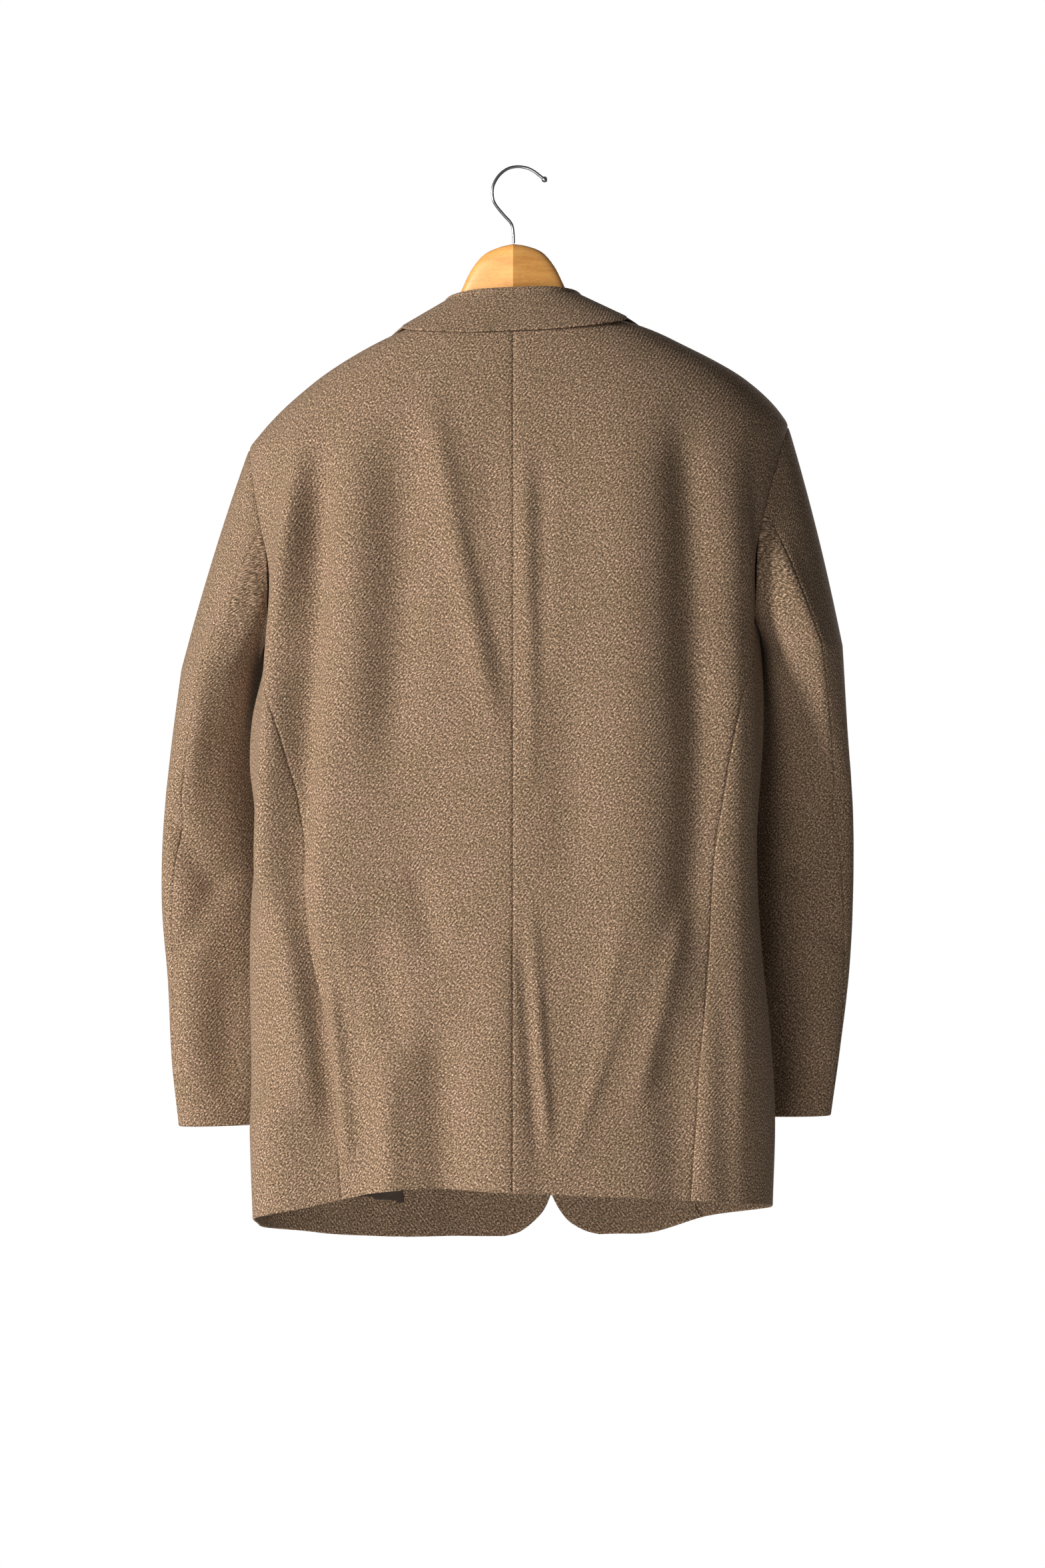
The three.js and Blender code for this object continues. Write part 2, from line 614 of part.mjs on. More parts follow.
// Turns of a front's columns in one row: from the side seam to the line of the facing's inner
// edge, and on from there to the front edge. The facing shares the last columns.
function frontTurns(side, height) {
  const start = frontEdgeTurn(height);
  const end = frontTurnAtX(side, frontEdgeX(side, height), height);
  const width = column(FACING_ROWS, "height", "width", height);
  const inner = frontTurnAtX(side, frontEdgeX(side, height) + side * width, height);
  const line = Math.max(inner, mix(start, end, FACING_LINE_SHARE));
  const first = start + seamTurn(start, height);
  return steps(first, line, FRONT_COLUMNS).concat(steps(line, end, FACING_COLUMNS).slice(1));
}

function frontPoint(side, turn, height, out) {
  const x = bodyPoint(side * turn, height).x;
  return bodySkin(side * turn, height, out - overlapInset(side, x, height));
}

function frontPanel(name, side) {
  const columns = steps(0, FRONT_COLUMNS + FACING_COLUMNS, FRONT_COLUMNS + FACING_COLUMNS);
  return wall(name, TWEED, PANEL_ROWS, columns, CLOTH, (index, height) =>
    frontPoint(side, frontTurns(side, height)[Math.round(index)], height, 0)
  );
}

// Facings: a layer of tweed inside each front's edge, up to the break of the lapel.
function facingPanel(name, side) {
  const rows = LOWER_ROWS.filter((height) => height <= BREAK_HEIGHT);
  const columns = steps(FRONT_COLUMNS, FRONT_COLUMNS + FACING_COLUMNS, FACING_COLUMNS);
  return wall(name, FACING_TWEED, rows, columns, FACING_CLOTH, (index, height) =>
    frontPoint(side, frontTurns(side, height)[Math.round(index)], height, -CLOTH - LAYER_GAP)
  );
}

// ---- Lapels ----
function lapelPanel(name, side) {
  const foot = side > 0 ? BREAK_HEIGHT : RIGHT_LAPEL_FOOT;
  const rows = steps(foot, -265, 9).concat([-236, -226, -214, -204, -194, -184]);
  const lift = CLOTH + LAYER_GAP + LAPEL_LIFT;
  return wall(name, TWEED, rows, steps(0, 1, 5), CLOTH, (across, height) => {
    const roll = rollLineX(side, height) - side * LAPEL_ROLL;
    const edge = roll + side * column(LAPEL_ROWS, "height", "width", height);
    const start = side > 0 ? roll : Math.min(roll, rollLineX(1, height) - LAPEL_ROOM);
    const grown = smooth((height - BREAK_HEIGHT) / LAPEL_PUFF_LENGTH);
    const puff = LAPEL_PUFF * Math.sin(Math.PI * across) * grown;
    return frontSkin(side, mix(start, edge, across), height, lift + puff);
  });
}

// ---- Collar ----
// Stations round the neck from the centre back to a front end. The seam and the free edge are given
// by their turn and height on the body's skin, and the fold at the top by its place.
const COLLAR_ROWS = [
  { way: 0.0, seamTurn: 0, seamZ: -138, foldX: 0, foldY: 50, foldZ: -110, edgeTurn: 0, edgeZ: -151 },
  { way: 0.14, seamTurn: 17, seamZ: -138, foldX: 17, foldY: 49, foldZ: -110, edgeTurn: 14, edgeZ: -151 },
  { way: 0.28, seamTurn: 36, seamZ: -138, foldX: 34, foldY: 44, foldZ: -110, edgeTurn: 31, edgeZ: -149 },
  { way: 0.42, seamTurn: 56, seamZ: -138, foldX: 48, foldY: 33, foldZ: -111, edgeTurn: 53, edgeZ: -145 },
  { way: 0.55, seamTurn: 76, seamZ: -138, foldX: 56, foldY: 17, foldZ: -113, edgeTurn: 75, edgeZ: -141 },
  { way: 0.66, seamTurn: 97, seamZ: -138, foldX: 61, foldY: -1, foldZ: -119, edgeTurn: 98, edgeZ: -143 },
  { way: 0.78, seamTurn: 128, seamZ: -138, foldX: 65, foldY: -20, foldZ: -130, edgeTurn: 116, edgeZ: -154 },
  { way: 0.9, seamTurn: 147, seamZ: -150, foldX: 66, foldY: -42, foldZ: -145, edgeTurn: 127, edgeZ: -172 },
  { way: 1.0, seamTurn: 157, seamZ: -168, foldX: 62, foldY: -62, foldZ: -163, edgeTurn: 133, edgeZ: -192 },
];
function collarPoint(side, way, over) {
  const read = (name) => column(COLLAR_ROWS, "way", name, way);
  const seam = bodySkin(side * read("seamTurn"), read("seamZ"), 0).point;
  seam.z += SEAM_GAP;
  const edge = bodySkin(side * read("edgeTurn"), read("edgeZ"), COLLAR_LIFT).point;
  const fold = new THREE.Vector3(side * read("foldX"), read("foldY"), read("foldZ"));
  fold.z -= TILT_TOP * fold.x;
  // The stand rises to the fold and the fall comes down over it, round a small bend.
  const outward = edge.clone().sub(seam).normalize();
  const bend = Math.min(COLLAR_BEND, 0.45 * fold.distanceTo(seam) + 1.5);
  const point = new THREE.Vector3();
  if (over < STAND_END) {
    const inside = fold.clone().addScaledVector(outward, -bend).add(new THREE.Vector3(0, 0, -bend));
    point.lerpVectors(seam, inside, over / STAND_END);
  } else if (over > FALL_START) {
    const outside = fold.clone().addScaledVector(outward, bend).add(new THREE.Vector3(0, 0, -bend));
    point.lerpVectors(outside, edge, (over - FALL_START) / (1 - FALL_START));
  } else {
    const angle = Math.PI * (1 - (over - STAND_END) / (FALL_START - STAND_END));
    point.copy(fold).addScaledVector(outward, bend * Math.cos(angle));
    point.z += bend * Math.sin(angle) - bend;
  }
  return point;
}

function collarPiece(name) {
  const ways = [1, 0.9, 0.8, 0.7, 0.6, 0.5, 0.4, 0.3, 0.2, 0.1, 0];
  const stations = ways.map((way) => -way).concat(ways.slice(0, -1).reverse());
  const overs = [0, 0.2, 0.4, 0.45, 0.5, 0.55, 0.6, 0.73, 0.86, 1];
  const at = (way, over) => collarPoint(way < 0 ? -1 : 1, Math.abs(way), over);
  const skin = (over, way) => {
    const step = 0.01;
    const low = Math.max(-1, way - step);
    const high = Math.min(1, way + step);
    const along = at(high, over).sub(at(low, over));
    const up = at(way, Math.min(1, over + step)).sub(at(way, Math.max(0, over - step)));
    return { point: at(way, over), normal: along.cross(up).normalize() };
  };
  return wall(name, TWEED, stations, overs, CLOTH, skin);
}

// ---- Sleeves ----
// Place round the sleeve in degrees: 0 at the outer fold, 90 at the back, 180 against the body and
// 270 at the front. The way down is 0 at the armhole, 1 at the first full ring and 2 at the cuff.
function armholePoint(side, around) {
  const isBack = around <= 180;
  const q = (isBack ? around : 360 - around) / 180;
  const share = ARMHOLE_SHARE;
  const height = mix(SHOULDER_TIP, UNDERARM, clamp01(q / share));
  const edge = isBack ? backEdgeTurn(height) : frontEdgeTurn(height);
  const turn = mix(edge, 90, clamp01((q - share) / (1 - share)));
  return bodySkin(side * turn, height);
}

function sleeveRise(around, height) {
  let rise = 0;
  for (const row of SLEEVE_FOLDS) {
    if (height < row.top && height > row.low) {
      const t = (row.top - height) / (row.top - row.low);
      const away = (around - mix(row.aTop, row.aLow, t)) / row.width;
      rise += row.rise * Math.exp(-away * away) * foldWindow(row.top, row.low, height);
    }
  }
  return rise;
}

function sleeveRing(side, around, height) {
  const read = (name) => column(SLEEVE_ROWS, "height", name, height);
  const radians = (around * Math.PI) / 180;
  const lead = (read("lead") * Math.PI) / 180;
  const wide = read("wide");
  const rise = sleeveRise(around, height);
  const x = read(side > 0 ? "left" : "right") - wide + (wide + rise) * Math.cos(radians);
  const y = read("middle") + (read("deep") + rise) * Math.sin(radians + lead);
  return new THREE.Vector3(side * x, y, height - tiltAt(height) * side * x);
}

function sleevePoint(side, around, way) {
  if (way >= 1) {
    return sleeveRing(side, around, mix(SLEEVE_RING, CUFF_HEIGHT, way - 1));
  }
  const armhole = armholePoint(side, around).point;
  const outerShare = Math.cos((around * Math.PI) / 180);
  const standOff = outerShare > 0 ? ARMHOLE_OUT : -ARMHOLE_IN;
  armhole.x += side * (ARMHOLE_GAP + standOff * outerShare);
  const ring = sleeveRing(side, around, SLEEVE_RING);
  const handle = armhole.clone().lerp(ring, 0.5);
  const outward = Math.cos((around * Math.PI) / 180);
  const backward = Math.sin((around * Math.PI) / 180);
  handle.x += side * (outward > 0 ? SLEEVE_HEAD * outward : -UNDERARM_ROOM * outward);
  handle.y += SLEEVE_BACK_ROOM * backward;
  // The ring below holds its own share of each fold, so this share ends where that one is whole.
  const ownShare = smooth(way * 4) * (1 - way ** 2);
  const rise = sleeveRise(around, mix(armhole.z, ring.z, way)) * ownShare;
  const point = armhole.multiplyScalar((1 - way) ** 2);
  point.addScaledVector(handle, 2 * way * (1 - way)).addScaledVector(ring, way ** 2);
  point.x += side * rise * outward;
  point.y += rise * backward;
  return point;
}

function sleeveSkin(side, around, way) {
  const turn = ((around % 360) + 360) % 360;
  const stepAround = 2;
  const stepWay = 0.02;
  const low = Math.max(0, way - stepWay);
  const high = Math.min(2, way + stepWay);
  const ringward = (angle, place) => sleevePoint(side, ((angle % 360) + 360) % 360, place);
  const across = ringward(turn + stepAround, way).sub(ringward(turn - stepAround, way));
  const down = ringward(turn, high).sub(ringward(turn, low));
  const normal = down.cross(across).multiplyScalar(side).normalize();
  // At the armhole's outer part the sleeve's edge faces the panel's edge squarely.
  const fromOuter = Math.min(turn, 360 - turn);
  const share = smooth(1 - way * 3) * smooth((RIM_TURN - fromOuter) / RIM_EASE);
  if (share > 0) {
    normal.lerp(armholePoint(side, turn).normal, share).normalize();
  }
  return { point: ringward(turn, way), normal };
}

function elbowSeam(way) {
  const height = mix(SLEEVE_RING, CUFF_HEIGHT, clamp01(way - 1));
  return column(SLEEVE_ROWS, "height", "elbow", height);
}

// Half a sleeve seam's room, in degrees round the sleeve.
function sleeveSeamTurn(side, around, way) {
  const step = sleevePoint(side, around + 0.5, way).distanceTo(sleevePoint(side, around - 0.5, way));
  return (0.7 * SEAM_GAP) / Math.max(step, 0.3);
}

function sleevePiece(name, side, isUpper) {
  const ways = steps(0, 1, 7).concat(steps(1, 2, 17).slice(1));
  return wall(name, TWEED, ways, steps(0, 1, 9), CLOTH, (across, way) => {
    const elbow = elbowSeam(way);
    const elbowGap = sleeveSeamTurn(side, elbow, way);
    const frontGap = sleeveSeamTurn(side, FRONT_SLEEVE_SEAM, way);
    const from = isUpper ? FRONT_SLEEVE_SEAM - 360 + frontGap : elbow + elbowGap;
    const to = isUpper ? elbow - elbowGap : FRONT_SLEEVE_SEAM - frontGap;
    return sleeveSkin(side, mix(from, to, across), way);
  });
}

// ---- Buttons ----
function frontButton(name, height) {
  const x = centreFront(height);
  const seat = frontSkin(1, x, height, LAYER_GAP);
  const profile = [
    [0, 0],
    [BUTTON_RADIUS - 1, 0],
    [BUTTON_RADIUS, 1],
    [BUTTON_RADIUS, BUTTON_WELL],
    [BUTTON_RADIUS - 1.2, BUTTON_THICKNESS],
    [BUTTON_RADIUS - 3, BUTTON_WELL],
    [0, BUTTON_WELL],
  ].map(([radius, rise]) => new THREE.Vector2(radius, rise));
  const button = new THREE.Mesh(new THREE.LatheGeometry(profile, 16), BUTTON_HORN);
  button.name = name;
  button.position.copy(seat.point);
  button.quaternion.setFromUnitVectors(new THREE.Vector3(0, 1, 0), seat.normal);
  return button;
}

// ---- Hanger ----
function hangerBody(nodeName) {
  const places = HANGER_ROWS.map((row) => row.x);
  const stations = places.slice(1).reverse().map((x) => -x).concat(places);
  const rings = stations.map((x) => {
    const read = (name) => column(HANGER_ROWS, "x", name, Math.abs(x));
    const top = read("top");
    const low = read("low");
    const half = read("half");
    const centreZ = (top + low) / 2;
    const y = HOOK_TOP.y - HANGER_SWEEP * Math.abs(x);
    return Array.from({ length: HANGER_SIDES }, (_, i) => {
      const angle = (i / HANGER_SIDES) * Math.PI * 2;
      const c = Math.cos(angle);
      const s = Math.sin(angle);
      const power = HANGER_SQUARENESS;
      const reach = (Math.abs(c) ** power + Math.abs(s) ** power) ** (-1 / power);
      const z = centreZ + ((top - low) / 2) * s * reach;
      return new THREE.Vector3(x, y + half * c * reach, z - TILT_TOP * x);
    });
  });
  return loft(nodeName, VARNISHED_WOOD, rings);
}

// The hook: a wire that leaves the hanger's top, bows out and comes round to a ball end.
function hookWire(name) {
  const route = HOOK_ROWS.map((row) => new THREE.Vector3(row.x, HOOK_TOP.y, row.z));
  const curve = new THREE.CatmullRomCurve3(route, false, "centripetal");
  const rings = steps(0, 1, HOOK_STEPS).map((t) => {
    const centre = curve.getPointAt(t);
    const tangent = curve.getTangentAt(t);
    const across = new THREE.Vector3(0, 1, 0);
    const up = tangent.clone().cross(across).normalize();
    const fromEnd = (1 - t) * curve.getLength();
    const ball = 1 - ((fromEnd - HOOK_BALL_RADIUS) / HOOK_BALL_RADIUS) ** 2;
    const wire = fromEnd < 0.1 ? HOOK_TIP_RADIUS : WIRE_RADIUS;
    const radius = Math.max(wire, HOOK_BALL_RADIUS * Math.sqrt(Math.max(0, ball)));
    return Array.from({ length: HOOK_SIDES }, (_, i) => {
      const angle = (i / HOOK_SIDES) * Math.PI * 2;
      return centre
        .clone()
        .addScaledVector(across, radius * Math.cos(angle))
        .addScaledVector(up, radius * Math.sin(angle));
    });
  });
  return loft(name, CHROME, rings);
}

const garment = new THREE.Group();
garment.position.set(-HOOK_TOP.x, -HOOK_TOP.y, -HOOK_TOP.z);
for (const [side, word] of [
  [1, "left"],
  [-1, "right"],
]) {
  garment.add(
    backPanel(`back_${word}`, side),
    sidePanel(`side_${word}`, side),
    frontPanel(`front_${word}`, side),
    facingPanel(`facing_${word}`, side),
    lapelPanel(`lapel_${word}`, side),
    sleevePiece(`upper_sleeve_${word}`, side, true),
    sleevePiece(`under_sleeve_${word}`, side, false)
  );
}
for (const [name, height] of Object.entries(BUTTON_HEIGHTS)) {
  garment.add(frontButton(name, height));
}
garment.add(collarPiece("collar"), hangerBody("hanger"), hookWire("hook"));

export default garment;
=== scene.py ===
import math

import bmesh
import bpy
import numpy as np
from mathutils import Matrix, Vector


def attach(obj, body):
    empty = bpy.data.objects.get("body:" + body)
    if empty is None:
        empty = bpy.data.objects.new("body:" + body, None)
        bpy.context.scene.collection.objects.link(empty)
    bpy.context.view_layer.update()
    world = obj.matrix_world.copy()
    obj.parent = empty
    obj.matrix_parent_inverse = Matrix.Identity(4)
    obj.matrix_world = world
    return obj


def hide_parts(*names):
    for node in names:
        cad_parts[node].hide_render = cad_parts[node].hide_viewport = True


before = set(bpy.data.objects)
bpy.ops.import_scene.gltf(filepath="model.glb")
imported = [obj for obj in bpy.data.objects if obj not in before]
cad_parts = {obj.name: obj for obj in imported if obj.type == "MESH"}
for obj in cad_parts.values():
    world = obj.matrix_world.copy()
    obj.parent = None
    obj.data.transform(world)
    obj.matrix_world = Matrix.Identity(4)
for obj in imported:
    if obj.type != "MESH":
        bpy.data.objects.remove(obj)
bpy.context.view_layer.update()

# ---- Camera ----
# It stands level, four metres behind the coat, and sees 0.585 mm of the coat's middle in each of
# 1568 points across.
CAMERA_PLACE = (-0.0052, 3.964, -0.5355)
CAMERA_DISTANCE, SIGHT_WIDTH = 4.0, 1568 * 0.585e-3


def put_in_scene(name, data):
    """A new object in the scene that holds the data."""
    held = bpy.data.objects.new(name, data)
    bpy.context.scene.collection.objects.link(held)
    return held


camera = put_in_scene("camera", bpy.data.cameras.new("camera"))
camera.data.sensor_fit = "HORIZONTAL"
camera.data.sensor_width = 36
camera.data.lens = camera.data.sensor_width * CAMERA_DISTANCE / SIGHT_WIDTH
camera.data.clip_end = 60
camera.location = CAMERA_PLACE
camera.rotation_euler = (math.radians(90), 0, math.radians(180))
bpy.context.scene.camera = camera
bpy.context.scene.view_settings.view_transform = "Standard"

# ---- Back panels ----
# Two backs of brown melange twill tweed, joined by a plain pressed-open seam down the centre back,
# with no vent. They hang from the shoulder blades in long soft folds, and the hem is turned up
# 38 mm inside.
TO_FRAME = np.array([3.0, -36.0, 5.0])  # from the coat's own middle to the hook, in mm
CLOTH = 2.0
FACING_CLOTH = 1.2
SEAM_GAP = -0.1  # the edges meet in the seam
LAYER_GAP = 0.5
HEM_TURN_UP = 38.0
NECK, SHOULDER, UNDERARM, HEM = -138.0, -235.0, -405.0, -890.0
BACK_POWER, FRONT_POWER = 2.6, 2.0
NECK_TILT, HEM_TILT = 0.042, 0.016  # how much higher the coat's right hangs, for each mm across
SIDES = ((1, "left"), (-1, "right"))


def table(names, *rows):
    return dict(zip(names.split(), np.array(rows, float).T))


BODY = table(
    "height left right back side front",
    (-138, 86, 86, 62, 14, -28),
    (-142, 99, 102, 66, 11, -38),
    (-151, 121, 126, 71, 5, -47),
    (-163, 145, 150, 76, -1, -55),
    (-176, 167, 175, 80, -7, -62),
    (-189, 185, 197, 84, -12, -68),
    (-201, 200, 213, 87, -17, -73),
    (-214, 214, 227, 89, -21, -77),
    (-226, 225, 237, 91, -24, -81),
    (-235, 232, 242, 92, -25, -84),
    (-260, 236, 241, 94, -21, -88),
    (-300, 234, 234, 96, -12, -93),
    (-340, 228, 228, 98, -3, -96),
    (-380, 219, 218, 99, 4, -98),
    (-405, 215, 214, 99, 7, -98),
    (-430, 219, 217, 99, 9, -98),
    (-470, 228, 219, 98, 12, -97),
    (-510, 230, 218, 96, 14, -95),
    (-545, 226, 215, 94, 15, -93),
    (-583, 225, 212, 93, 15, -92),
    (-630, 229, 213, 94, 15, -93),
    (-680, 230, 217, 97, 14, -95),
    (-750, 229, 225, 101, 13, -98),
    (-815, 228, 229, 104, 12, -100),
    (-890, 223, 227, 106, 12, -101),
)
SEAM_SHARES = table(
    "height back front",
    (-235, 1.0, 1.0),
    (-255, 0.974, 0.95),
    (-282, 0.958, 0.9),
    (-308, 0.945, 0.865),
    (-338, 0.935, 0.855),
    (-360, 0.945, 0.875),
    (-386, 0.966, 0.93),
    (-405, 0.972, 0.965),
    (-434, 0.948, 0.955),
    (-468, 0.885, 0.935),
    (-510, 0.85, 0.92),
    (-560, 0.835, 0.905),
    (-620, 0.807, 0.9),
    (-676, 0.778, 0.9),
    (-729, 0.737, 0.9),
    (-775, 0.705, 0.9),
    (-840, 0.685, 0.9),
    (-890, 0.678, 0.9),
)
HEM_DROP = table(
    "turn left right",
    (0, 0, 0),
    (19, 4, -5),
    (28, 2, -7),
    (39, -6, -11),
    (50, -14, -15),
    (90, -33, -24),
    (122, -44, -34),
    (133, -49, -40),
    (146, -53, -53),
    (156, -55, -55),
    (180, -57, -57),
)
# Folds: where each begins and ends, its place across at three heights, its width, and how far it
# stands out of the cloth, or sinks in if below 0. The last rows are small creases.
FOLD_NAMES = "top low x_top x_mid x_low width rise"
BACK_FOLDS = table(
    FOLD_NAMES,
    (-200, -680, 178, 211, 214, 10, 14),
    (-215, -690, 162, 181, 189, 13, -12),
    (-200, -520, 138, 132, 142, 20, 6),
    (-205, -560, 100, 90, 112, 20, -6),
    (-180, -520, 76, 48, 8, 12, 6),
    (-215, -520, 24, 16, 5, 18, -3),
    (-235, -560, -9, -12, -16, 6, 2.5),
    (-240, -480, -24, -27, -26, 7, -2),
    (-200, -800, 96, 84, 100, 58, -9),
    (-170, -820, -98, -110, -104, 40, 9),
    (-205, -520, -145, -153, -154, 17, -7),
    (-430, -700, -158, -162, -143, 17, -6),
    (-215, -920, -188, -196, -192, 20, 9),
    (-250, -560, -208, -214, -212, 6, -3),
    (-560, -840, 210, 192, 168, 13, 6),
    (-600, -860, 190, 174, 153, 10, -9),
    (-690, -880, 162, 153, 142, 8, 7),
    (-640, -1010, 160, 150, 142, 32, -12),
    (-760, -1000, 206, 208, 210, 22, 13),
    (-760, -990, 110, 107, 104, 13, 6),
    (-720, -990, 66, 60, 54, 20, -9),
    (-640, -1000, 14, 6, 4, 26, 7),
    (-650, -880, -5, -13, -22, 6, -2),
    (-620, -880, -14, -22, -32, 6, 2.5),
    (-640, -890, -92, -76, -38, 10, 3),
    (-620, -830, -152, -128, -102, 10, 3.5),
    (-730, -990, -138, -142, -146, 20, -5),
    (-600, -700, 84, 76, 66, 14, -4),
    (-650, -780, 122, 112, 96, 14, -4),
    (-420, -640, -40, -52, -48, 20, -3),
    (-300, -455, 44, 22, 3, 4, -1.5),
    (-330, -440, 34, 18, 6, 4, 1.2),
    (-380, -520, -8, -14, -12, 4, -1.2),
    (-700, -850, -20, -24, -31, 4, 1.2),
    (-720, -860, -78, -62, -44, 5, -1.8),
    (-700, -830, -102, -84, -60, 5, 1.5),
    (-640, -760, 152, 146, 140, 5, 1.5),
    (-560, -640, 178, 172, 160, 6, 1.4),
    (-700, -900, -168, -166, -164, 7, 2.5),
    (-720, -960, -182, -184, -186, 6, -2),
)
FRONT_FOLDS = table(
    FOLD_NAMES,
    (-230, -560, 178, 186, 160, 13, -8),
    (-300, -620, 150, 135, 95, 14, 5),
    (-560, -930, 60, 92, 118, 16, -5),
    (-600, -960, 30, 48, 60, 15, 4),
    (-640, -900, 165, 158, 150, 13, -5),
    (-235, -570, -180, -184, -155, 13, -8),
    (-320, -640, -148, -130, -92, 14, 5),
    (-580, -930, -70, -98, -122, 16, -5),
    (-650, -930, -160, -156, -148, 14, -4),
)


def mix(a, b, t):
    return a + (b - a) * t


def smooth(value):
    t = np.clip(value, 0, 1)
    return t * t * (3 - 2 * t)


def column(rows, key_name, value_name, at):
    """A table's column at any key, on a smooth curve through its rows."""
    keys, values = rows[key_name], rows[value_name]
    way = 1 if keys[-1] > keys[0] else -1
    last = len(keys) - 1
    at = np.asarray(at, float)
    i = np.searchsorted(way * keys[1:last], way * at, side="left")
    span = keys[i + 1] - keys[i]
    t = np.clip((at - keys[i]) / span, 0, 1)

    def slope(n):
        before, after = np.maximum(n - 1, 0), np.minimum(n + 1, last)
        return (values[after] - values[before]) / (keys[after] - keys[before]) * span

    return (
        values[i] * (2 * t**3 - 3 * t**2 + 1)
        + slope(i) * (t**3 - 2 * t**2 + t)
        + values[i + 1] * (3 * t**2 - 2 * t**3)
        + slope(i + 1) * (t**3 - t**2)
    )


def by_side(side, rows, key_name, at):
    """The left or the right column of a table that has both."""
    left, right = (column(rows, key_name, name, at) for name in ("left", "right"))
    return np.where(side > 0, left, right)


def tilt(height):
    return mix(NECK_TILT, HEM_TILT, smooth((SHOULDER - height) / (SHOULDER - HEM)))


def fold_window(t):
    return smooth(t / 0.25) * smooth((1 - t) / 0.25)


def fold_rise(folds, x, height):
    rise = np.zeros(np.broadcast(x, height).shape)
    for top, low, x_top, x_mid, x_low, width, out in zip(*folds.values()):
        t = (top - height) / (top - low)
        centre = mix(mix(x_top, x_mid, t), mix(x_mid, x_low, t), t)
        rise += out * np.exp(-(((x - centre) / width) ** 2)) * fold_window(t)
    return rise


def body_point(turn, height):
    """The coat's skin. The turn is 0 at the centre back, 90 at the left side and 180 in front."""
    turn, height = np.broadcast_arrays(np.asarray(turn, float), np.asarray(height, float))
    angle = (turn + 180) % 360 - 180
    angle = np.where((angle == -180) & (turn > 0), 180, angle)
    side = np.where(angle < 0, -1, 1)
    away = np.abs(angle)
    is_back = away <= 90
    power = np.where(is_back, BACK_POWER, FRONT_POWER)
    sine, cosine = np.abs(np.sin(np.radians(away))), np.abs(np.cos(np.radians(away)))
    reach = (sine**power + cosine**power) ** (-1 / power)
    width = by_side(side, BODY, "height", height)
    back, front, middle = (column(BODY, "height", n, height) for n in ("back", "front", "side"))
    depth = np.where(is_back, back, front) - middle
    x = side * width * sine * reach
    y = middle + depth * cosine * reach
    rise = np.where(is_back, fold_rise(BACK_FOLDS, x, height), fold_rise(FRONT_FOLDS, x, height))
    facing = smooth(cosine * reach * 2.2)
    out_x = side * (sine * reach) ** (power - 1) / width
    out_y = (cosine * reach) ** (power - 1) / depth
    length = np.hypot(out_x, out_y)
    x = x + rise * facing * out_x / length
    y = y + rise * facing * out_y / length
    share = (NECK - height) / (NECK - HEM)
    drop = by_side(side, HEM_DROP, "turn", away)
    return np.stack([x, y, height + drop * share * share - tilt(height) * x], -1)


def unit(vectors):
    return vectors / np.maximum(np.linalg.norm(vectors, axis=-1, keepdims=True), 1e-9)


def body_skin(turn, height, out=0.0):
    turn, height = np.broadcast_arrays(np.asarray(turn, float), np.asarray(height, float))
    across = body_point(turn + 0.4, height) - body_point(turn - 0.4, height)
    down = body_point(turn, height - 1.5) - body_point(turn, np.minimum(NECK, height + 1.5))
    normal = unit(np.cross(across, down))
    return body_point(turn, height) + normal * np.asarray(out)[..., None], normal


def turn_at_share(share, power):
    raised = np.clip(np.abs(share), 0, 0.9999999) ** power
    turn = np.degrees(np.arctan((raised / (1 - raised)) ** (1 / power)))
    return np.where(np.abs(share) >= 1, 90.0, turn)


def back_edge(height):
    share = column(SEAM_SHARES, "height", "back", height)
    return np.where(height >= SHOULDER, 90.0, turn_at_share(share, BACK_POWER))


def front_edge(height):
    share = column(SEAM_SHARES, "height", "front", height)
    return np.where(height >= SHOULDER, 90.0, 180 - turn_at_share(share, FRONT_POWER))


def seam_turn(turn, height):
    step = np.linalg.norm(body_point(turn + 0.5, height) - body_point(turn - 0.5, height), axis=-1)
    return SEAM_GAP / 2 / np.maximum(step, 0.5)


def edge_spacing(length, count, ends=(0, 0.45, 0.95, 1.6, 2.6)):
    """Places along a strip, close together by both of its edges and even between them."""
    near = np.array(ends) * min(1, length / 14)
    middle = np.linspace(near[-1], length - near[-1], count + 1)
    return np.concatenate([near[:-1], middle, length - near[:-1][::-1]])


def run_length(points, axis):
    step = np.linalg.norm(np.diff(points, axis=axis), axis=-1)
    zero = np.zeros_like(np.take(step, [0], axis=axis))
    return np.concatenate([zero, np.cumsum(step, axis=axis)], axis=axis)


def even_places(point_at, rows, count):
    """Shares across each row at which the cloth's own columns lie."""
    trial = np.linspace(0, 1, 81)
    along = run_length(point_at(*np.meshgrid(trial, rows)), 1)
    return np.array([np.interp(edge_spacing(run[-1], count), run, trial) for run in along])


def edge_dip(distance, kind, thickness):
    """How far the cloth's face turns in by an edge: a pressed seam, or a rounded free edge."""
    if kind == "seam":
        return 0.95 * np.exp(-((distance / 1.15) ** 2)) + 0.25 * np.exp(-((distance / 4.5) ** 2))
    if kind == "free":
        t = np.clip(1 - distance / (0.75 * thickness), 0, 1)
        return 0.44 * thickness * (1 - np.sqrt(np.maximum(1 - t * t, 0)))
    return np.zeros_like(distance)


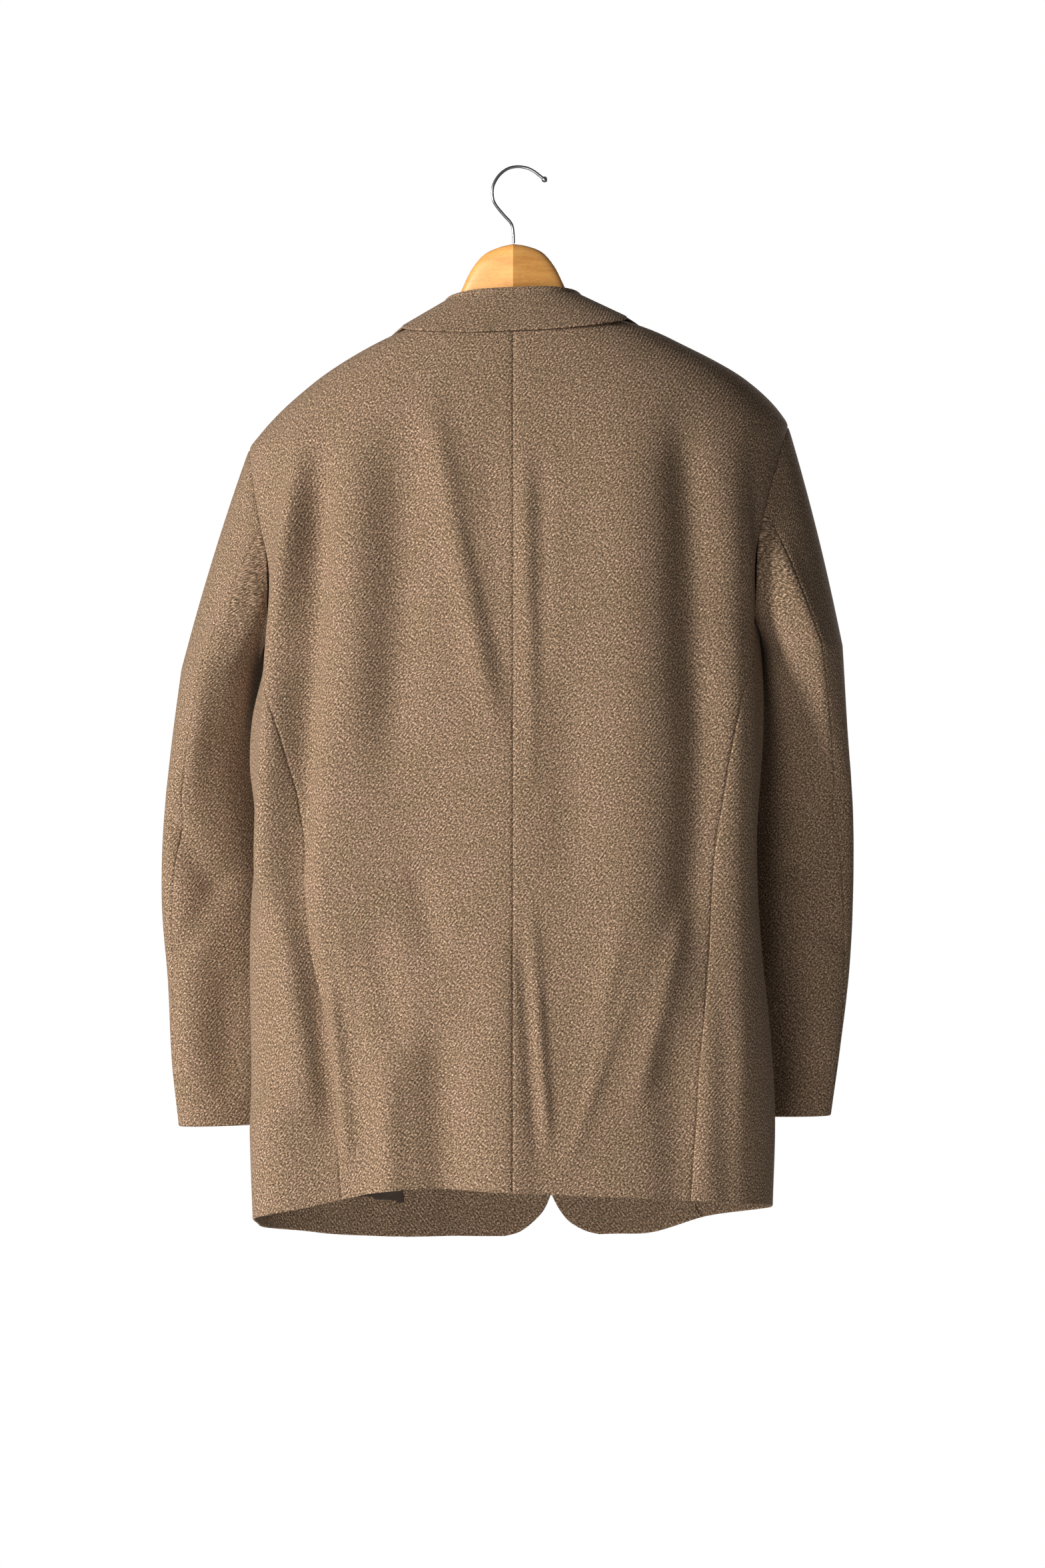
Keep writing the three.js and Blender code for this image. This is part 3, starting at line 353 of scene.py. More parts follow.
def cloth_piece(
    name,
    points,
    normals,
    thickness,
    materials,
    edges,
    across_sign=-1,
    inner_slot=None,
    grain="middle",
):
    """A closed shell of cloth on a grid of its outer face, laid out flat in its UV map in metres.

    edges names the kinds of the first column, last column, first row and last row. grain tells
    which line of the panel hangs straight: its first column, its middle, or the coat's own middle.
    With "cuff" the weave is laid up from the lower edge.
    """
    high, wide = points.shape[:2]
    across, down = run_length(points, 1), run_length(points, 0)
    from_edges = (across, across[:, -1:] - across, down, down[-1:, :] - down)
    dip_out, dip_in = np.zeros((high, wide)), np.zeros((high, wide))
    for distance, kind in zip(from_edges, edges):
        turned = edge_dip(distance, kind, thickness)
        dip_out = np.maximum(dip_out, turned)
        if kind == "free":
            dip_in = np.maximum(dip_in, turned)
    outer = points - normals * dip_out[..., None]
    inner = points - normals * (thickness - dip_in)[..., None]
    coords = np.concatenate([outer.reshape(-1, 3), inner.reshape(-1, 3)])
    coords = (coords + TO_FRAME) / 1000
    index = np.arange(high * wide).reshape(high, wide)
    far = high * wide
    a, b = index[:-1, :-1], index[1:, :-1]
    c, d = index[1:, 1:], index[:-1, 1:]
    front = np.stack([a, b, c, d], -1).reshape(-1, 4)
    behind = np.stack([a, d, c, b], -1).reshape(-1, 4) + far

    def rim(line):
        return np.stack([line[1:], line[:-1], line[:-1] + far, line[1:] + far], -1)

    rims = np.concatenate(
        [rim(index[:, 0]), rim(index[::-1, -1]), rim(index[0, ::-1]), rim(index[-1, :])]
    )
    quads = np.concatenate([front, behind, rims])
    mesh = bpy.data.meshes.new(name)
    mesh.from_pydata(coords.tolist(), [], quads.tolist())
    line = 0 if grain == "first" else wide // 2
    fall = np.diff(points[:, line], axis=0)
    fall = np.linalg.norm(fall if grain == "middle" else fall[:, 1:], axis=1)
    fall = np.concatenate([[0], np.cumsum(fall)])
    flat_v = -np.broadcast_to(fall[:, None], down.shape) / 1000
    if grain == "cuff":
        flat_v = (down[-1:] - down) / 1000
        along = np.diff(across, axis=1) ** 2
        level = along - (1000 * np.diff(flat_v, axis=1)) ** 2
        step = np.sqrt(np.maximum(level, 0.5 * along))
        across = np.concatenate([0 * across[:, :1], np.cumsum(step, axis=1)], axis=1)
    flat_u = across_sign * (across - across[:, line : line + 1]) / 1000
    if grain == "coat":
        flat_u = flat_u + points[:, line : line + 1, 0] / 1000
    flat = np.stack([flat_u, flat_v], -1).reshape(-1, 2)
    flat = np.concatenate([flat, flat])
    layer = mesh.uv_layers.new(name="cloth")
    loops = np.zeros(len(mesh.loops), np.int32)
    mesh.loops.foreach_get("vertex_index", loops)
    layer.data.foreach_set("uv", flat[loops].astype(np.float32).ravel())
    for material in materials:
        mesh.materials.append(material)
    slots = np.zeros(len(quads), np.int32)
    if inner_slot is not None:
        slots[len(front) : len(front) * 2] = inner_slot.reshape(-1)
    mesh.polygons.foreach_set("material_index", slots)
    mesh.polygons.foreach_set("use_smooth", np.ones(len(quads), bool))
    mesh.validate()
    volume = 0.0
    corners = coords[quads]
    for k in (1, 2):
        p, q, r = corners[:, 0], corners[:, k], corners[:, k + 1]
        volume += np.einsum("ij,ij->i", p, np.cross(q, r)).sum()
    if volume < 0:
        mesh.flip_normals()
    return put_in_scene(name, mesh)


def hung_sheet(piece, node):
    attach(piece, "root")
    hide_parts(node)


class Finish:
    """A material that is put together from nodes."""

    def __init__(self, name):
        self.material = bpy.data.materials.new(name)
        self.material.use_nodes = True
        self.tree = self.material.node_tree
        self.surface = self.tree.nodes["Principled BSDF"]

    def node(self, kind, inputs=None, **settings):
        made = self.tree.nodes.new("ShaderNode" + kind)
        for key, value in settings.items():
            setattr(made, key, value)
        for key, value in (inputs or {}).items():
            self.feed(made.inputs[key], value)
        return made

    def feed(self, socket, value):
        if isinstance(value, bpy.types.NodeSocket):
            self.tree.links.new(value, socket)
        else:
            socket.default_value = value

    def surface_of(self, **settings):
        for key, value in settings.items():
            self.feed(self.surface.inputs[key.replace("_", " ")], value)

    def in_mm(self):
        """The cloth's own flat place in mm."""
        place = self.node("UVMap", uv_map="cloth").outputs["UV"]
        return self.stretched(place, (1000, 1000, 1000))

    def stretched(self, place, scale):
        return self.node("Mapping", {"Vector": place, "Scale": scale}).outputs["Vector"]

    def waves(self, place, scale, distortion, detail_scale, direction):
        return self.node(
            "TexWave",
            {
                "Vector": place,
                "Scale": scale,
                "Distortion": distortion,
                "Detail": 2.0,
                "Detail Scale": detail_scale,
                "Detail Roughness": 0.6,
            },
            wave_type="BANDS",
            bands_direction=direction,
        ).outputs["Fac"]

    def maths(self, operation, *values):
        made = self.tree.nodes.new("ShaderNodeMath")
        made.operation = operation
        for socket, value in zip(made.inputs, values):
            self.feed(socket, value)
        return made.outputs[0]

    def blend(self, share, first, second, way="MIX"):
        made = self.tree.nodes.new("ShaderNodeMix")
        made.data_type, made.blend_type = "RGBA", way
        self.feed(made.inputs[0], share)
        self.feed(made.inputs[6], first)
        self.feed(made.inputs[7], second)
        return made.outputs[2]

    def ramp(self, share, *stops):
        made = self.node("ValToRGB", {"Fac": share})
        line = made.color_ramp.elements
        while len(line) < len(stops):
            line.new(0.5)
        for element, (place, colour) in zip(line, stops):
            element.position = place
            element.color = (*colour, 1)
        return made.outputs["Color"]

    def noise(self, vector, scale, detail=2.0, roughness=0.5):
        made = self.node(
            "TexNoise",
            {"Vector": vector, "Scale": scale, "Detail": detail, "Roughness": roughness},
        )
        return made.outputs["Fac"]

    def bump(self, height, distance, strength=1.0):
        made = self.node("Bump", {"Height": height, "Distance": distance, "Strength": strength})
        self.feed(self.surface.inputs["Normal"], made.outputs["Normal"])


TWILL_ANGLE = 52.0  # of the ribs above the level, rising to the right
TWILL_PITCH = 2.9  # mm from rib to rib
YARN = 1.05  # mm, a float's length along a rib


def tweed_finish(name, tone):
    made = Finish(name)
    flat = made.in_mm()
    turn = (0, 0, math.radians(90 - TWILL_ANGLE))
    turned = made.node("Mapping", {"Vector": flat, "Rotation": turn}).outputs["Vector"]
    ribs = made.waves(turned, math.pi / (10 * TWILL_PITCH), 2.6, 1.3, "X")
    floats = made.waves(flat, math.pi / (10 * YARN), 2.4, 1.6, "Y")
    yarns = made.noise(made.stretched(turned, (1.0, 0.7, 1.0)), 0.78, 2.0, 0.62)
    fibres = made.noise(flat, 2.2, 2.0, 0.6)
    cloudy = made.noise(flat, 0.03, 3.0, 0.55)
    slubs = made.noise(made.stretched(flat, (0.9, 0.16, 1.0)), 0.42, 1.0, 0.4)
    mixed = made.maths("MULTIPLY", yarns, 0.6)
    mixed = made.maths("MULTIPLY_ADD", fibres, 0.4, mixed)
    melange = made.ramp(
        mixed,
        (0.4, (0.055 * tone, 0.038 * tone, 0.024 * tone)),
        (0.475, (0.165 * tone, 0.108 * tone, 0.066 * tone)),
        (0.535, (0.3 * tone, 0.2 * tone, 0.128 * tone)),
        (0.61, (0.76 * tone, 0.54 * tone, 0.38 * tone)),
    )
    depth = made.maths("MULTIPLY_ADD", floats, 0.35, made.maths("MULTIPLY", ribs, 0.65))
    # Painted shade: the colour is darker in the valleys between the ribs and floats and lighter on
    # their tops, which also draws the twill's diagonal lines.
    painted_rib_shade = made.ramp(depth, (0.1, (0.78, 0.76, 0.74)), (0.8, (1.08, 1.08, 1.08)))
    colour = made.blend(1.0, melange, painted_rib_shade, "MULTIPLY")
    patches = made.ramp(cloudy, (0.3, (0.94, 0.95, 0.9)), (0.7, (1.06, 1.03, 1.06)))
    colour = made.blend(1.0, colour, patches, "MULTIPLY")
    fleck = made.ramp(slubs, (0.69, (0, 0, 0)), (0.76, (1, 1, 1)))
    colour = made.blend(
        made.maths("MULTIPLY", fleck, 0.4), colour, (0.5 * tone, 0.38 * tone, 0.28 * tone, 1)
    )
    made.surface_of(Base_Color=colour, Roughness=0.95, Specular_IOR_Level=0.18)
    made.surface_of(Sheen_Weight=0.12, Sheen_Roughness=0.5, Sheen_Tint=(0.85, 0.7, 0.56, 1))
    relief = made.maths("MULTIPLY_ADD", yarns, 0.5, made.maths("MULTIPLY", depth, 0.8))
    relief = made.maths("MULTIPLY_ADD", fibres, 0.2, relief)
    made.bump(relief, 0.0006, 0.75)
    return made.material


def lining_finish(name):
    made = Finish(name)
    flat = made.in_mm()
    threads = made.node(
        "TexWave",
        {"Vector": flat, "Scale": 0.7, "Distortion": 0.6, "Detail": 1.0},
        wave_type="BANDS",
        bands_direction="DIAGONAL",
    ).outputs["Fac"]
    ripples = made.noise(flat, 0.05, 2.0, 0.5)
    colour = made.ramp(ripples, (0.3, (0.05, 0.03, 0.02)), (0.7, (0.1, 0.062, 0.042)))
    made.surface_of(Base_Color=colour, Roughness=0.42, Sheen_Weight=0.1)
    made.bump(made.maths("MULTIPLY_ADD", ripples, 3.0, threads), 0.0004, 0.4)
    return made.material


tweed = tweed_finish("tweed", 1.0)
# A copy of the tweed a fifth brighter, for the turned-up hem and cuffs and the facings: painted light
# on inner faces that lie in shade.
brightened_inner_tweed = tweed_finish("facing_tweed", 1.2)
lining = lining_finish("lining")
COAT_FINISHES = [tweed, brightened_inner_tweed, lining]


def body_heights():
    """The rows that all the body's panels share, close together by the neck and by the hem."""
    shoulder = np.concatenate([[0, 0.5, 1.1, 2], np.linspace(3.5, 97, 38)])
    lower = np.linspace(97, 700, 152)[1:]
    hem = np.concatenate([np.linspace(700, 748, 26)[1:], [748.8, 749.6, 750.3, 750.9, 751.45, 752]])
    return NECK - np.concatenate([shoulder, lower, hem])


HEIGHTS = body_heights()
LOWER_HEIGHTS = np.concatenate(
    [UNDERARM - np.array([0, 0.5, 1.1, 2.0]), HEIGHTS[HEIGHTS < UNDERARM - 3.5]]
)


def inner_strip(points, turn_up):
    """Finish of each inner face: a brighter copy of the tweed, painted light on these shaded faces,
    where the hem is turned up, and lining above it.
    """
    to_hem = run_length(points, 0)
    to_hem = to_hem[-1:] - to_hem
    return np.where(to_hem[:-1, :-1] < turn_up, 1, 2)


def sewn_panel(
    name,
    node,
    skin_at,
    rows,
    count,
    edges,
    slot="tweed",
    rests_on="hanger",
    turn_up=None,
    thickness=CLOTH,
    materials=COAT_FINISHES,
    **cut,
):
    """Makes a panel on even columns in each row of its skin, and hangs it in the coat."""
    places = even_places(lambda t, h: skin_at(t, h)[0], rows, count)
    points, normals = skin_at(places, np.broadcast_to(rows[:, None], places.shape))
    strip = inner_strip(points, turn_up) if turn_up else None
    panel = cloth_piece(name, points, normals, thickness, materials, edges, inner_slot=strip, **cut)
    hung_sheet(panel, node)


def back_turn(across, height, side):
    edge = back_edge(height)
    return side * mix(seam_turn(0.0, height), edge - seam_turn(edge, height), across)


for side, word in SIDES:

    def back_at(across, height):
        return body_skin(back_turn(across, height, side), height)

    sewn_panel(
        f"back_panel_{word}",
        f"back_{word}",
        back_at,
        HEIGHTS,
        60,
        ("seam", "seam", "plain", "free"),
        turn_up=HEM_TURN_UP,
        across_sign=-side,
        grain="first",
    )

# ---- Side bodies ----
# A narrow panel under each arm, between the side-back seam and the front seam.
for side, word in SIDES:

    def side_at(across, height):
        start, end = back_edge(height), front_edge(height)
        turn = mix(start + seam_turn(start, height), end - seam_turn(end, height), across)
        return body_skin(side * turn, height)

    sewn_panel(
        f"side_panel_{word}",
        f"side_{word}",
        side_at,
        LOWER_HEIGHTS,
        26,
        ("seam", "seam", "seam", "free"),
        turn_up=HEM_TURN_UP,
        across_sign=-side,
    )

# ---- Fronts and facings ----
# Two fronts, the left over the right, rolled back along the lapels and cut away in a round corner
# at the hem. Inside each front edge lies a facing of the same tweed, sewn round the edge, drawn in
# a brighter copy of the tweed: painted light on its shaded face.
BREAK = -545.0  # height at which each lapel begins to turn out
WRAP = 18.0
ROLL_TOP_X, ROLL_TOP = 70.0, -150.0
OVERLAP_START, OVERLAP_EASE = 80.0, 55.0
CUTAWAY = table(
    "rise left right",
    (0, 8, -78),
    (3, -5, -66),
    (10, -17, -52),
    (19, -27, -43),
    (30, -33, -36),
    (45, -38, -28),
    (75, -43, -19),
    (130, -49, -13),
)
FACING_WIDTHS = table(
    "height width",
    (-138, 8),
    (-235, 60),
    (-545, 78),
    (-760, 128),
    (-840, 139),
    (-860, 133),
    (-880, 117),
    (-887, 105),
    (-890, 92),
)


def centre_front(height):
    return -6 - 0.04 * (NECK - height)


def roll_line(side, height):
    foot = centre_front(BREAK) - side * WRAP
    return mix(side * ROLL_TOP_X, foot, np.clip((ROLL_TOP - height) / (ROLL_TOP - BREAK), 0, 1))


def front_edge_x(side, height):
    rise = height - HEM
    corner = column(CUTAWAY, "rise", "left" if side > 0 else "right", rise)
    below = np.where(rise < CUTAWAY["rise"][-1], corner, centre_front(height) - side * WRAP)
    return np.where(height > BREAK, roll_line(side, height), below)


def front_turn_at(side, x, height):
    width = by_side(x, BODY, "height", height)
    from_middle = turn_at_share(np.minimum(0.999, np.abs(x) / width), FRONT_POWER)
    return np.where(side * x > 0, 180 - from_middle, 180 + from_middle)


def overlap_inset(side, x, height):
    if side > 0:
        return np.zeros_like(x)
    depth = CLOTH + FACING_CLOTH + 3 * LAYER_GAP
    return depth * smooth((x - (centre_front(height) - OVERLAP_START)) / OVERLAP_EASE)


def front_skin(side, turn, height, out=0.0):
    x = body_point(side * turn, height)[..., 0]
    return body_skin(side * turn, height, out - overlap_inset(side, x, height))


def facing_line(side, height):
    """Turns of a front's side seam, of its facing's inner edge and of its front edge."""
    start = front_edge(height)
    edge_x = front_edge_x(side, height)
    end = front_turn_at(side, edge_x, height)
    width = column(FACING_WIDTHS, "height", "width", height)
    inner = front_turn_at(side, edge_x + side * width, height)
    return (start + seam_turn(start, height), np.maximum(inner, mix(start, end, 0.35)), end)


for side, word in SIDES:

    def front_at(across, height):
        start, _, end = facing_line(side, height)
        return front_skin(side, mix(start, end, across), height)

    sewn_panel(
        f"front_panel_{word}",
        f"front_{word}",
        front_at,
        HEIGHTS,
        48,
        ("seam", "free", "plain", "free"),
        turn_up=HEM_TURN_UP,
        across_sign=-side,
        grain="coat",
    )

    def facing_at(across, height):
        _, start, end = facing_line(side, height)
        return front_skin(side, mix(start, end, across), height, -CLOTH - LAYER_GAP)

    sewn_panel(
        f"front_facing_{word}",
        f"facing_{word}",
        facing_at,
        HEIGHTS[HEIGHTS <= BREAK],
        26,
        ("free", "free", "plain", "free"),
        slot="facing_tweed",
        rests_on=f"front_panel_{word}",
        thickness=FACING_CLOTH,
        materials=[brightened_inner_tweed],
        across_sign=-side,
        grain="coat",
    )

# ---- Lapels ----
# The tops of the facings, turned out over the fronts along a soft roll, each with a notch where
# it meets the collar.
RIGHT_ROLL_FOOT = -498.0  # the right lapel's, under the left front
LAPEL_WIDTHS = table(
    "height width",
    (-545, 5),
    (-520, 15),
    (-480, 31),
    (-430, 47),
    (-380, 60),
    (-320, 72),
    (-265, 81),
    (-236, 83),
    (-226, 66),
    (-214, 44),
    (-205, 33),
    (-194, 20),
    (-184, 8),
)
for side, word in SIDES:
    foot = BREAK if side > 0 else RIGHT_ROLL_FOOT

    def lapel_at(across, height):
        roll = roll_line(side, height) - side * 1.5
        edge = roll + side * column(LAPEL_WIDTHS, "height", "width", height)
        start = roll if side > 0 else np.minimum(roll, roll_line(1, height) - 3)
        x = mix(start, edge, across)
        puff = 3 * np.sin(math.pi * across) * smooth((height - BREAK) / 60)
        away = np.clip(1 - np.abs(x - start) / 5, 0, 1)
        lift = CLOTH + LAYER_GAP + 1 - 2.0 * away**2
        return front_skin(side, front_turn_at(side, x, height), height, lift + puff)

    sewn_panel(
        f"turned_lapel_{word}",
        f"lapel_{word}",
        lapel_at,
        np.concatenate([np.linspace(foot, -236, 80), np.linspace(-236, -184, 36)[1:]]),
        22,
        ("free", "free", "free", "free"),
        rests_on=f"front_panel_{word}",
        materials=[tweed],
        across_sign=side,
    )

# ---- Collar ----
# The stand rises from the neck seam, and the fall turns over it and comes down on the shoulders,
# with its two ends running out along the lapels.
COLLAR = table(
    "way seam_turn seam_z fold_x fold_y fold_z edge_turn edge_z",
    (0.0, 0, -138, 0, 50, -110, 0, -151),
    (0.14, 17, -138, 17, 49, -110, 14, -151),
    (0.28, 36, -138, 34, 44, -110, 31, -149),
    (0.42, 56, -138, 48, 33, -111, 53, -145),
    (0.55, 76, -138, 56, 17, -113, 75, -141),
    (0.66, 97, -138, 61, -1, -119, 98, -143),
    (0.78, 128, -138, 65, -20, -130, 116, -154),
    (0.9, 147, -150, 66, -42, -145, 127, -172),
    (1.0, 157, -168, 62, -62, -163, 133, -192),
)
STAND_END, FALL_START = 0.4, 0.6


def collar_point(way, over):
    side = np.where(way < 0, -1.0, 1.0)
    read = {name: column(COLLAR, "way", name, np.abs(way)) for name in COLLAR if name != "way"}
    seam = body_skin(side * read["seam_turn"], read["seam_z"])[0]
    seam = seam + np.array([0, 0, 0.3])
    edge = body_skin(side * read["edge_turn"], read["edge_z"], np.full_like(way, CLOTH + 2.5))[0]
    fold = np.stack([side * read["fold_x"], read["fold_y"], read["fold_z"]], -1)
    fold[..., 2] -= NECK_TILT * fold[..., 0]
    outward = unit(edge - seam)
    bend = np.minimum(2.6, 0.45 * np.linalg.norm(fold - seam, axis=-1) + 1.5)[..., None]
    down = np.array([0, 0, -1.0]) * bend
    over = over[..., None]
    inside, outside = fold - outward * bend + down, fold + outward * bend + down
    angle = math.pi * (1 - (over - STAND_END) / (FALL_START - STAND_END))
    arch = fold + outward * bend * np.cos(angle) - down * (np.sin(angle) - 1)
    stand = mix(seam, inside, np.clip(over / STAND_END, 0, 1))
    fall = mix(outside, edge, np.clip((over - FALL_START) / (1 - FALL_START), 0, 1))
    return np.where(over < STAND_END, stand, np.where(over > FALL_START, fall, arch))


ways = np.linspace(-1, 1, 121)
overs = np.concatenate(
    [
        np.linspace(0, STAND_END, 9),
        np.linspace(STAND_END, FALL_START, 13)[1:],
        np.linspace(FALL_START, 0.97, 14)[1:],
        [0.98, 0.987, 0.993, 0.997, 1.0],
    ]
)
way_grid, over_grid = np.meshgrid(ways, overs)
points = collar_point(way_grid, over_grid)
step = 0.006
along = collar_point(np.minimum(1, way_grid + step), over_grid)
along = along - collar_point(np.maximum(-1, way_grid - step), over_grid)
upward = collar_point(way_grid, np.minimum(1, over_grid + step))
upward = upward - collar_point(way_grid, np.maximum(0, over_grid - step))
collar = cloth_piece(
    "turned_collar",
    points,
    unit(np.cross(along, upward)),
    CLOTH,
    [tweed],
    ("free", "free", "plain", "free"),
    across_sign=-1,
)
hung_sheet(collar, "collar")

# ---- Sleeves ----
# Two-piece sleeves, set into the armholes with a little fullness over the head, with a seam down
# the elbow and one inside the front, and a plain cuff turned up inside.
CUFF, SLEEVE_RING, INNER_SEAM = -839.0, -430.0, 245.0
CUFF_TURN_UP = 34.0
ARMHOLE_DOWN = 0.86  # share of the armhole beside the two seams; the rest lies under the arm
ARMHOLE_GAP, ARMHOLE_OUT, ARMHOLE_IN = 0.1, 0.5, 0.2
SLEEVE_HEAD, UNDERARM_ROOM, SLEEVE_BACK_ROOM = 5.0, 5.0, 3.0
RIM_TURN, RIM_EASE = 120.0, 60.0  # degrees in which the sleeve's rim takes the armhole's slant
SLEEVE = table(
    "height left right wide deep lead middle elbow",
    (-430, 291, 289, 37, 66, 12, -14, 67),
    (-500, 301, 294, 42, 60, 32, -42, 54),
    (-570, 309, 300, 52, 52, 40, -58, 44),
    (-640, 311, 301, 58, 47, 40, -64, 34),
    (-710, 306, 298, 59, 44, 39, -67, 24),
    (-780, 303, 290, 57, 41, 38, -68, 13),
    (-839, 297, 282, 55, 39, 37, -68, 6),
)
SLEEVE_FOLDS = table(
    "top low a_top a_low width rise",
    (-300, -560, 78, 62, 16, 5),
    (-340, -860, 108, 116, 26, 9),
    (-540, -640, 25, 85, 18, -5),
    (-600, -700, 95, 35, 16, -5),
    (-620, -800, 60, 50, 22, 4),
    (-690, -830, 88, 80, 15, -4),
    (-560, -690, 285, 320, 18, -6),
    (-380, -560, 300, 290, 20, 5),
)


def armhole_skin(side, around):
    is_back = around <= 180
    q = np.where(is_back, around, 360 - around) / 180
    height = mix(SHOULDER, UNDERARM, np.clip(q / ARMHOLE_DOWN, 0, 1))
    edge = np.where(is_back, back_edge(height), front_edge(height))
    turn = mix(edge, 90, np.clip((q - ARMHOLE_DOWN) / (1 - ARMHOLE_DOWN), 0, 1))
    return body_skin(side * turn, height)


def sleeve_rise(around, height):
    rise = np.zeros(np.broadcast(around, height).shape)
    for top, low, a_top, a_low, width, out in zip(*SLEEVE_FOLDS.values()):
        t = (top - height) / (top - low)
        away = (around - mix(a_top, a_low, t)) / width
        rise += out * np.exp(-(away**2)) * fold_window(t)
    return rise


def sleeve_ring(side, around, height):
    def read(name):
        return column(SLEEVE, "height", name, height)

    radians, lead = np.radians(around), np.radians(read("lead"))
    wide, rise = read("wide"), sleeve_rise(around, height)
    x = read("left" if side > 0 else "right") - wide + (wide + rise) * np.cos(radians)
    y = read("middle") + (read("deep") + rise) * np.sin(radians + lead)
    return np.stack([side * x, y, height - tilt(height) * side * x], -1)


def sleeve_point(side, around, way):
    around, way = np.broadcast_arrays(np.asarray(around, float), np.asarray(way, float))
    around = around % 360
    outward, backward = np.cos(np.radians(around)), np.sin(np.radians(around))
    hole = armhole_skin(side, around)[0]
    shift = side * (ARMHOLE_GAP + np.where(outward > 0, ARMHOLE_OUT, -ARMHOLE_IN) * outward)
    hole = hole + np.stack([shift, 0 * shift, 0 * shift], -1)
    ring = sleeve_ring(side, around, np.full_like(around, SLEEVE_RING))
    handle = (hole + ring) / 2
    handle[..., 0] += side * np.where(outward > 0, SLEEVE_HEAD, -UNDERARM_ROOM) * outward
    handle[..., 1] += SLEEVE_BACK_ROOM * backward
    rise = sleeve_rise(around, mix(hole[..., 2], ring[..., 2], way))
    # The ring below holds its own share of each fold.
    rise = rise * smooth(way * 4) * (1 - np.minimum(way, 1) ** 2)
    t = way[..., None]
    upper = hole * (1 - t) ** 2 + handle * 2 * t * (1 - t) + ring * t**2
    upper = upper + np.stack([side * rise * outward, rise * backward, 0 * rise], -1)
    lower = sleeve_ring(side, around, mix(SLEEVE_RING, CUFF, np.clip(way - 1, 0, 1)))
    return np.where(t >= 1, lower, upper)


def sleeve_skin(side, around, way):
    across = sleeve_point(side, around + 2, way) - sleeve_point(side, around - 2, way)
    down = sleeve_point(side, around, np.minimum(2, way + 0.02))
    down = down - sleeve_point(side, around, np.maximum(0, way - 0.02))
    normal = unit(np.cross(down, across) * side)
    turn = around % 360
    from_outer = np.minimum(turn, 360 - turn)
    share = (smooth(1 - way * 3) * smooth((RIM_TURN - from_outer) / RIM_EASE))[..., None]
    normal = unit(mix(normal, armhole_skin(side, turn)[1], share))
    return sleeve_point(side, around, way), normal


def sleeve_seam_turn(side, around, way):
    step = sleeve_point(side, around + 0.5, way) - sleeve_point(side, around - 0.5, way)
    step = np.linalg.norm(step, axis=-1)
    return 0.7 * SEAM_GAP / np.maximum(step, 0.3)


SLEEVE_WAYS = np.concatenate(
    [
        [0, 0.003, 0.007, 0.012, 0.02],
        np.linspace(0.03, 1, 46),
        np.linspace(1, 1.985, 104)[1:],
        [1.989, 1.9925, 1.9955, 1.998, 2.0],
    ]
)


for side, word in SIDES:
    for is_upper, part, count in ((True, "upper", 42), (False, "under", 34)):

        def sleeve_at(across, way):
            low = mix(SLEEVE_RING, CUFF, np.clip(way - 1, 0, 1))
            elbow = column(SLEEVE, "height", "elbow", low)
            elbow_gap = sleeve_seam_turn(side, elbow, way)
            inner_gap = sleeve_seam_turn(side, np.full_like(elbow, INNER_SEAM), way)
            around = mix(elbow + elbow_gap, INNER_SEAM - inner_gap, across)
            if is_upper:
                around = mix(INNER_SEAM - 360 + inner_gap, elbow - elbow_gap, across)
            return sleeve_skin(side, around, way)

        sewn_panel(
            f"{part}_arm_{word}",
            f"{part}_sleeve_{word}",
            sleeve_at,
            SLEEVE_WAYS,
            count,
            ("seam", "seam", "seam", "free"),
            rests_on=f"back_panel_{word}",
            turn_up=CUFF_TURN_UP,
            across_sign=side,
            grain="cuff",
        )

# ---- Front buttons ----
# Two dark horn buttons with a raised rim and four holes, sewn on with crossed brown thread.
BUTTON_HOLE = 0.9
HOLE_PLACE = 2.3 / 1.42  # level and upright from the middle
THREAD_RADIUS, THREAD_PLACE = 0.00024, 0.28
ROUND_SIDES = 64
BUTTON_PROFILE = (
    (0, 0),
    (8.6, 0),
    (9.8, 0.35),
    (10.4, 1.1),
    (10.5, 2.0),
    (10.2, 3.0),
    (9.3, 3.55),
    (8.3, 3.3),
    (7.4, 2.6),
    (6.2, 2.3),
    (0, 2.2),
)


def horn_finish(name):
    made = Finish(name)
    place = made.node("TexCoord").outputs["Object"]
    streaks = made.noise(made.stretched(place, (140, 140, 420)), 1.0, 4.0, 0.6)
    colour = made.ramp(
        streaks,
        (0.3, (0.018, 0.01, 0.007)),
        (0.55, (0.06, 0.033, 0.02)),
        (0.75, (0.17, 0.1, 0.06)),
    )
    made.surface_of(Base_Color=colour, Roughness=0.32, Coat_Weight=0.3, Coat_Roughness=0.15)
    made.bump(streaks, 0.0002, 0.25)
    return made.material


def thread_finish(name):
    made = Finish(name)
    place = made.node("TexCoord").outputs["Object"]
    twist = made.noise(place, 2600.0, 1.0, 0.5)
    colour = made.ramp(twist, (0.3, (0.05, 0.03, 0.02)), (0.7, (0.15, 0.095, 0.06)))
    made.surface_of(Base_Color=colour, Roughness=0.7)
    made.bump(twist, 0.0001, 0.5)
    return made.material


horn = horn_finish("horn")
thread = thread_finish("thread")


def join_rings(made, rings):
    """Faces between each ring of points and the next."""
    count = len(rings[0])
    for first, second in zip(rings, rings[1:]):
        for k in range(count):
            n = (k + 1) % count
            made.faces.new((first[k], first[n], second[n], second[k]))


def in_frame(place):
    """The place in metres of a point of the coat that is given in mm."""
    return Vector((np.asarray(place) + TO_FRAME) / 1000)


def circle(count=ROUND_SIDES):
    """Even angles once round."""
    return [2 * math.pi * k / count for k in range(count)]


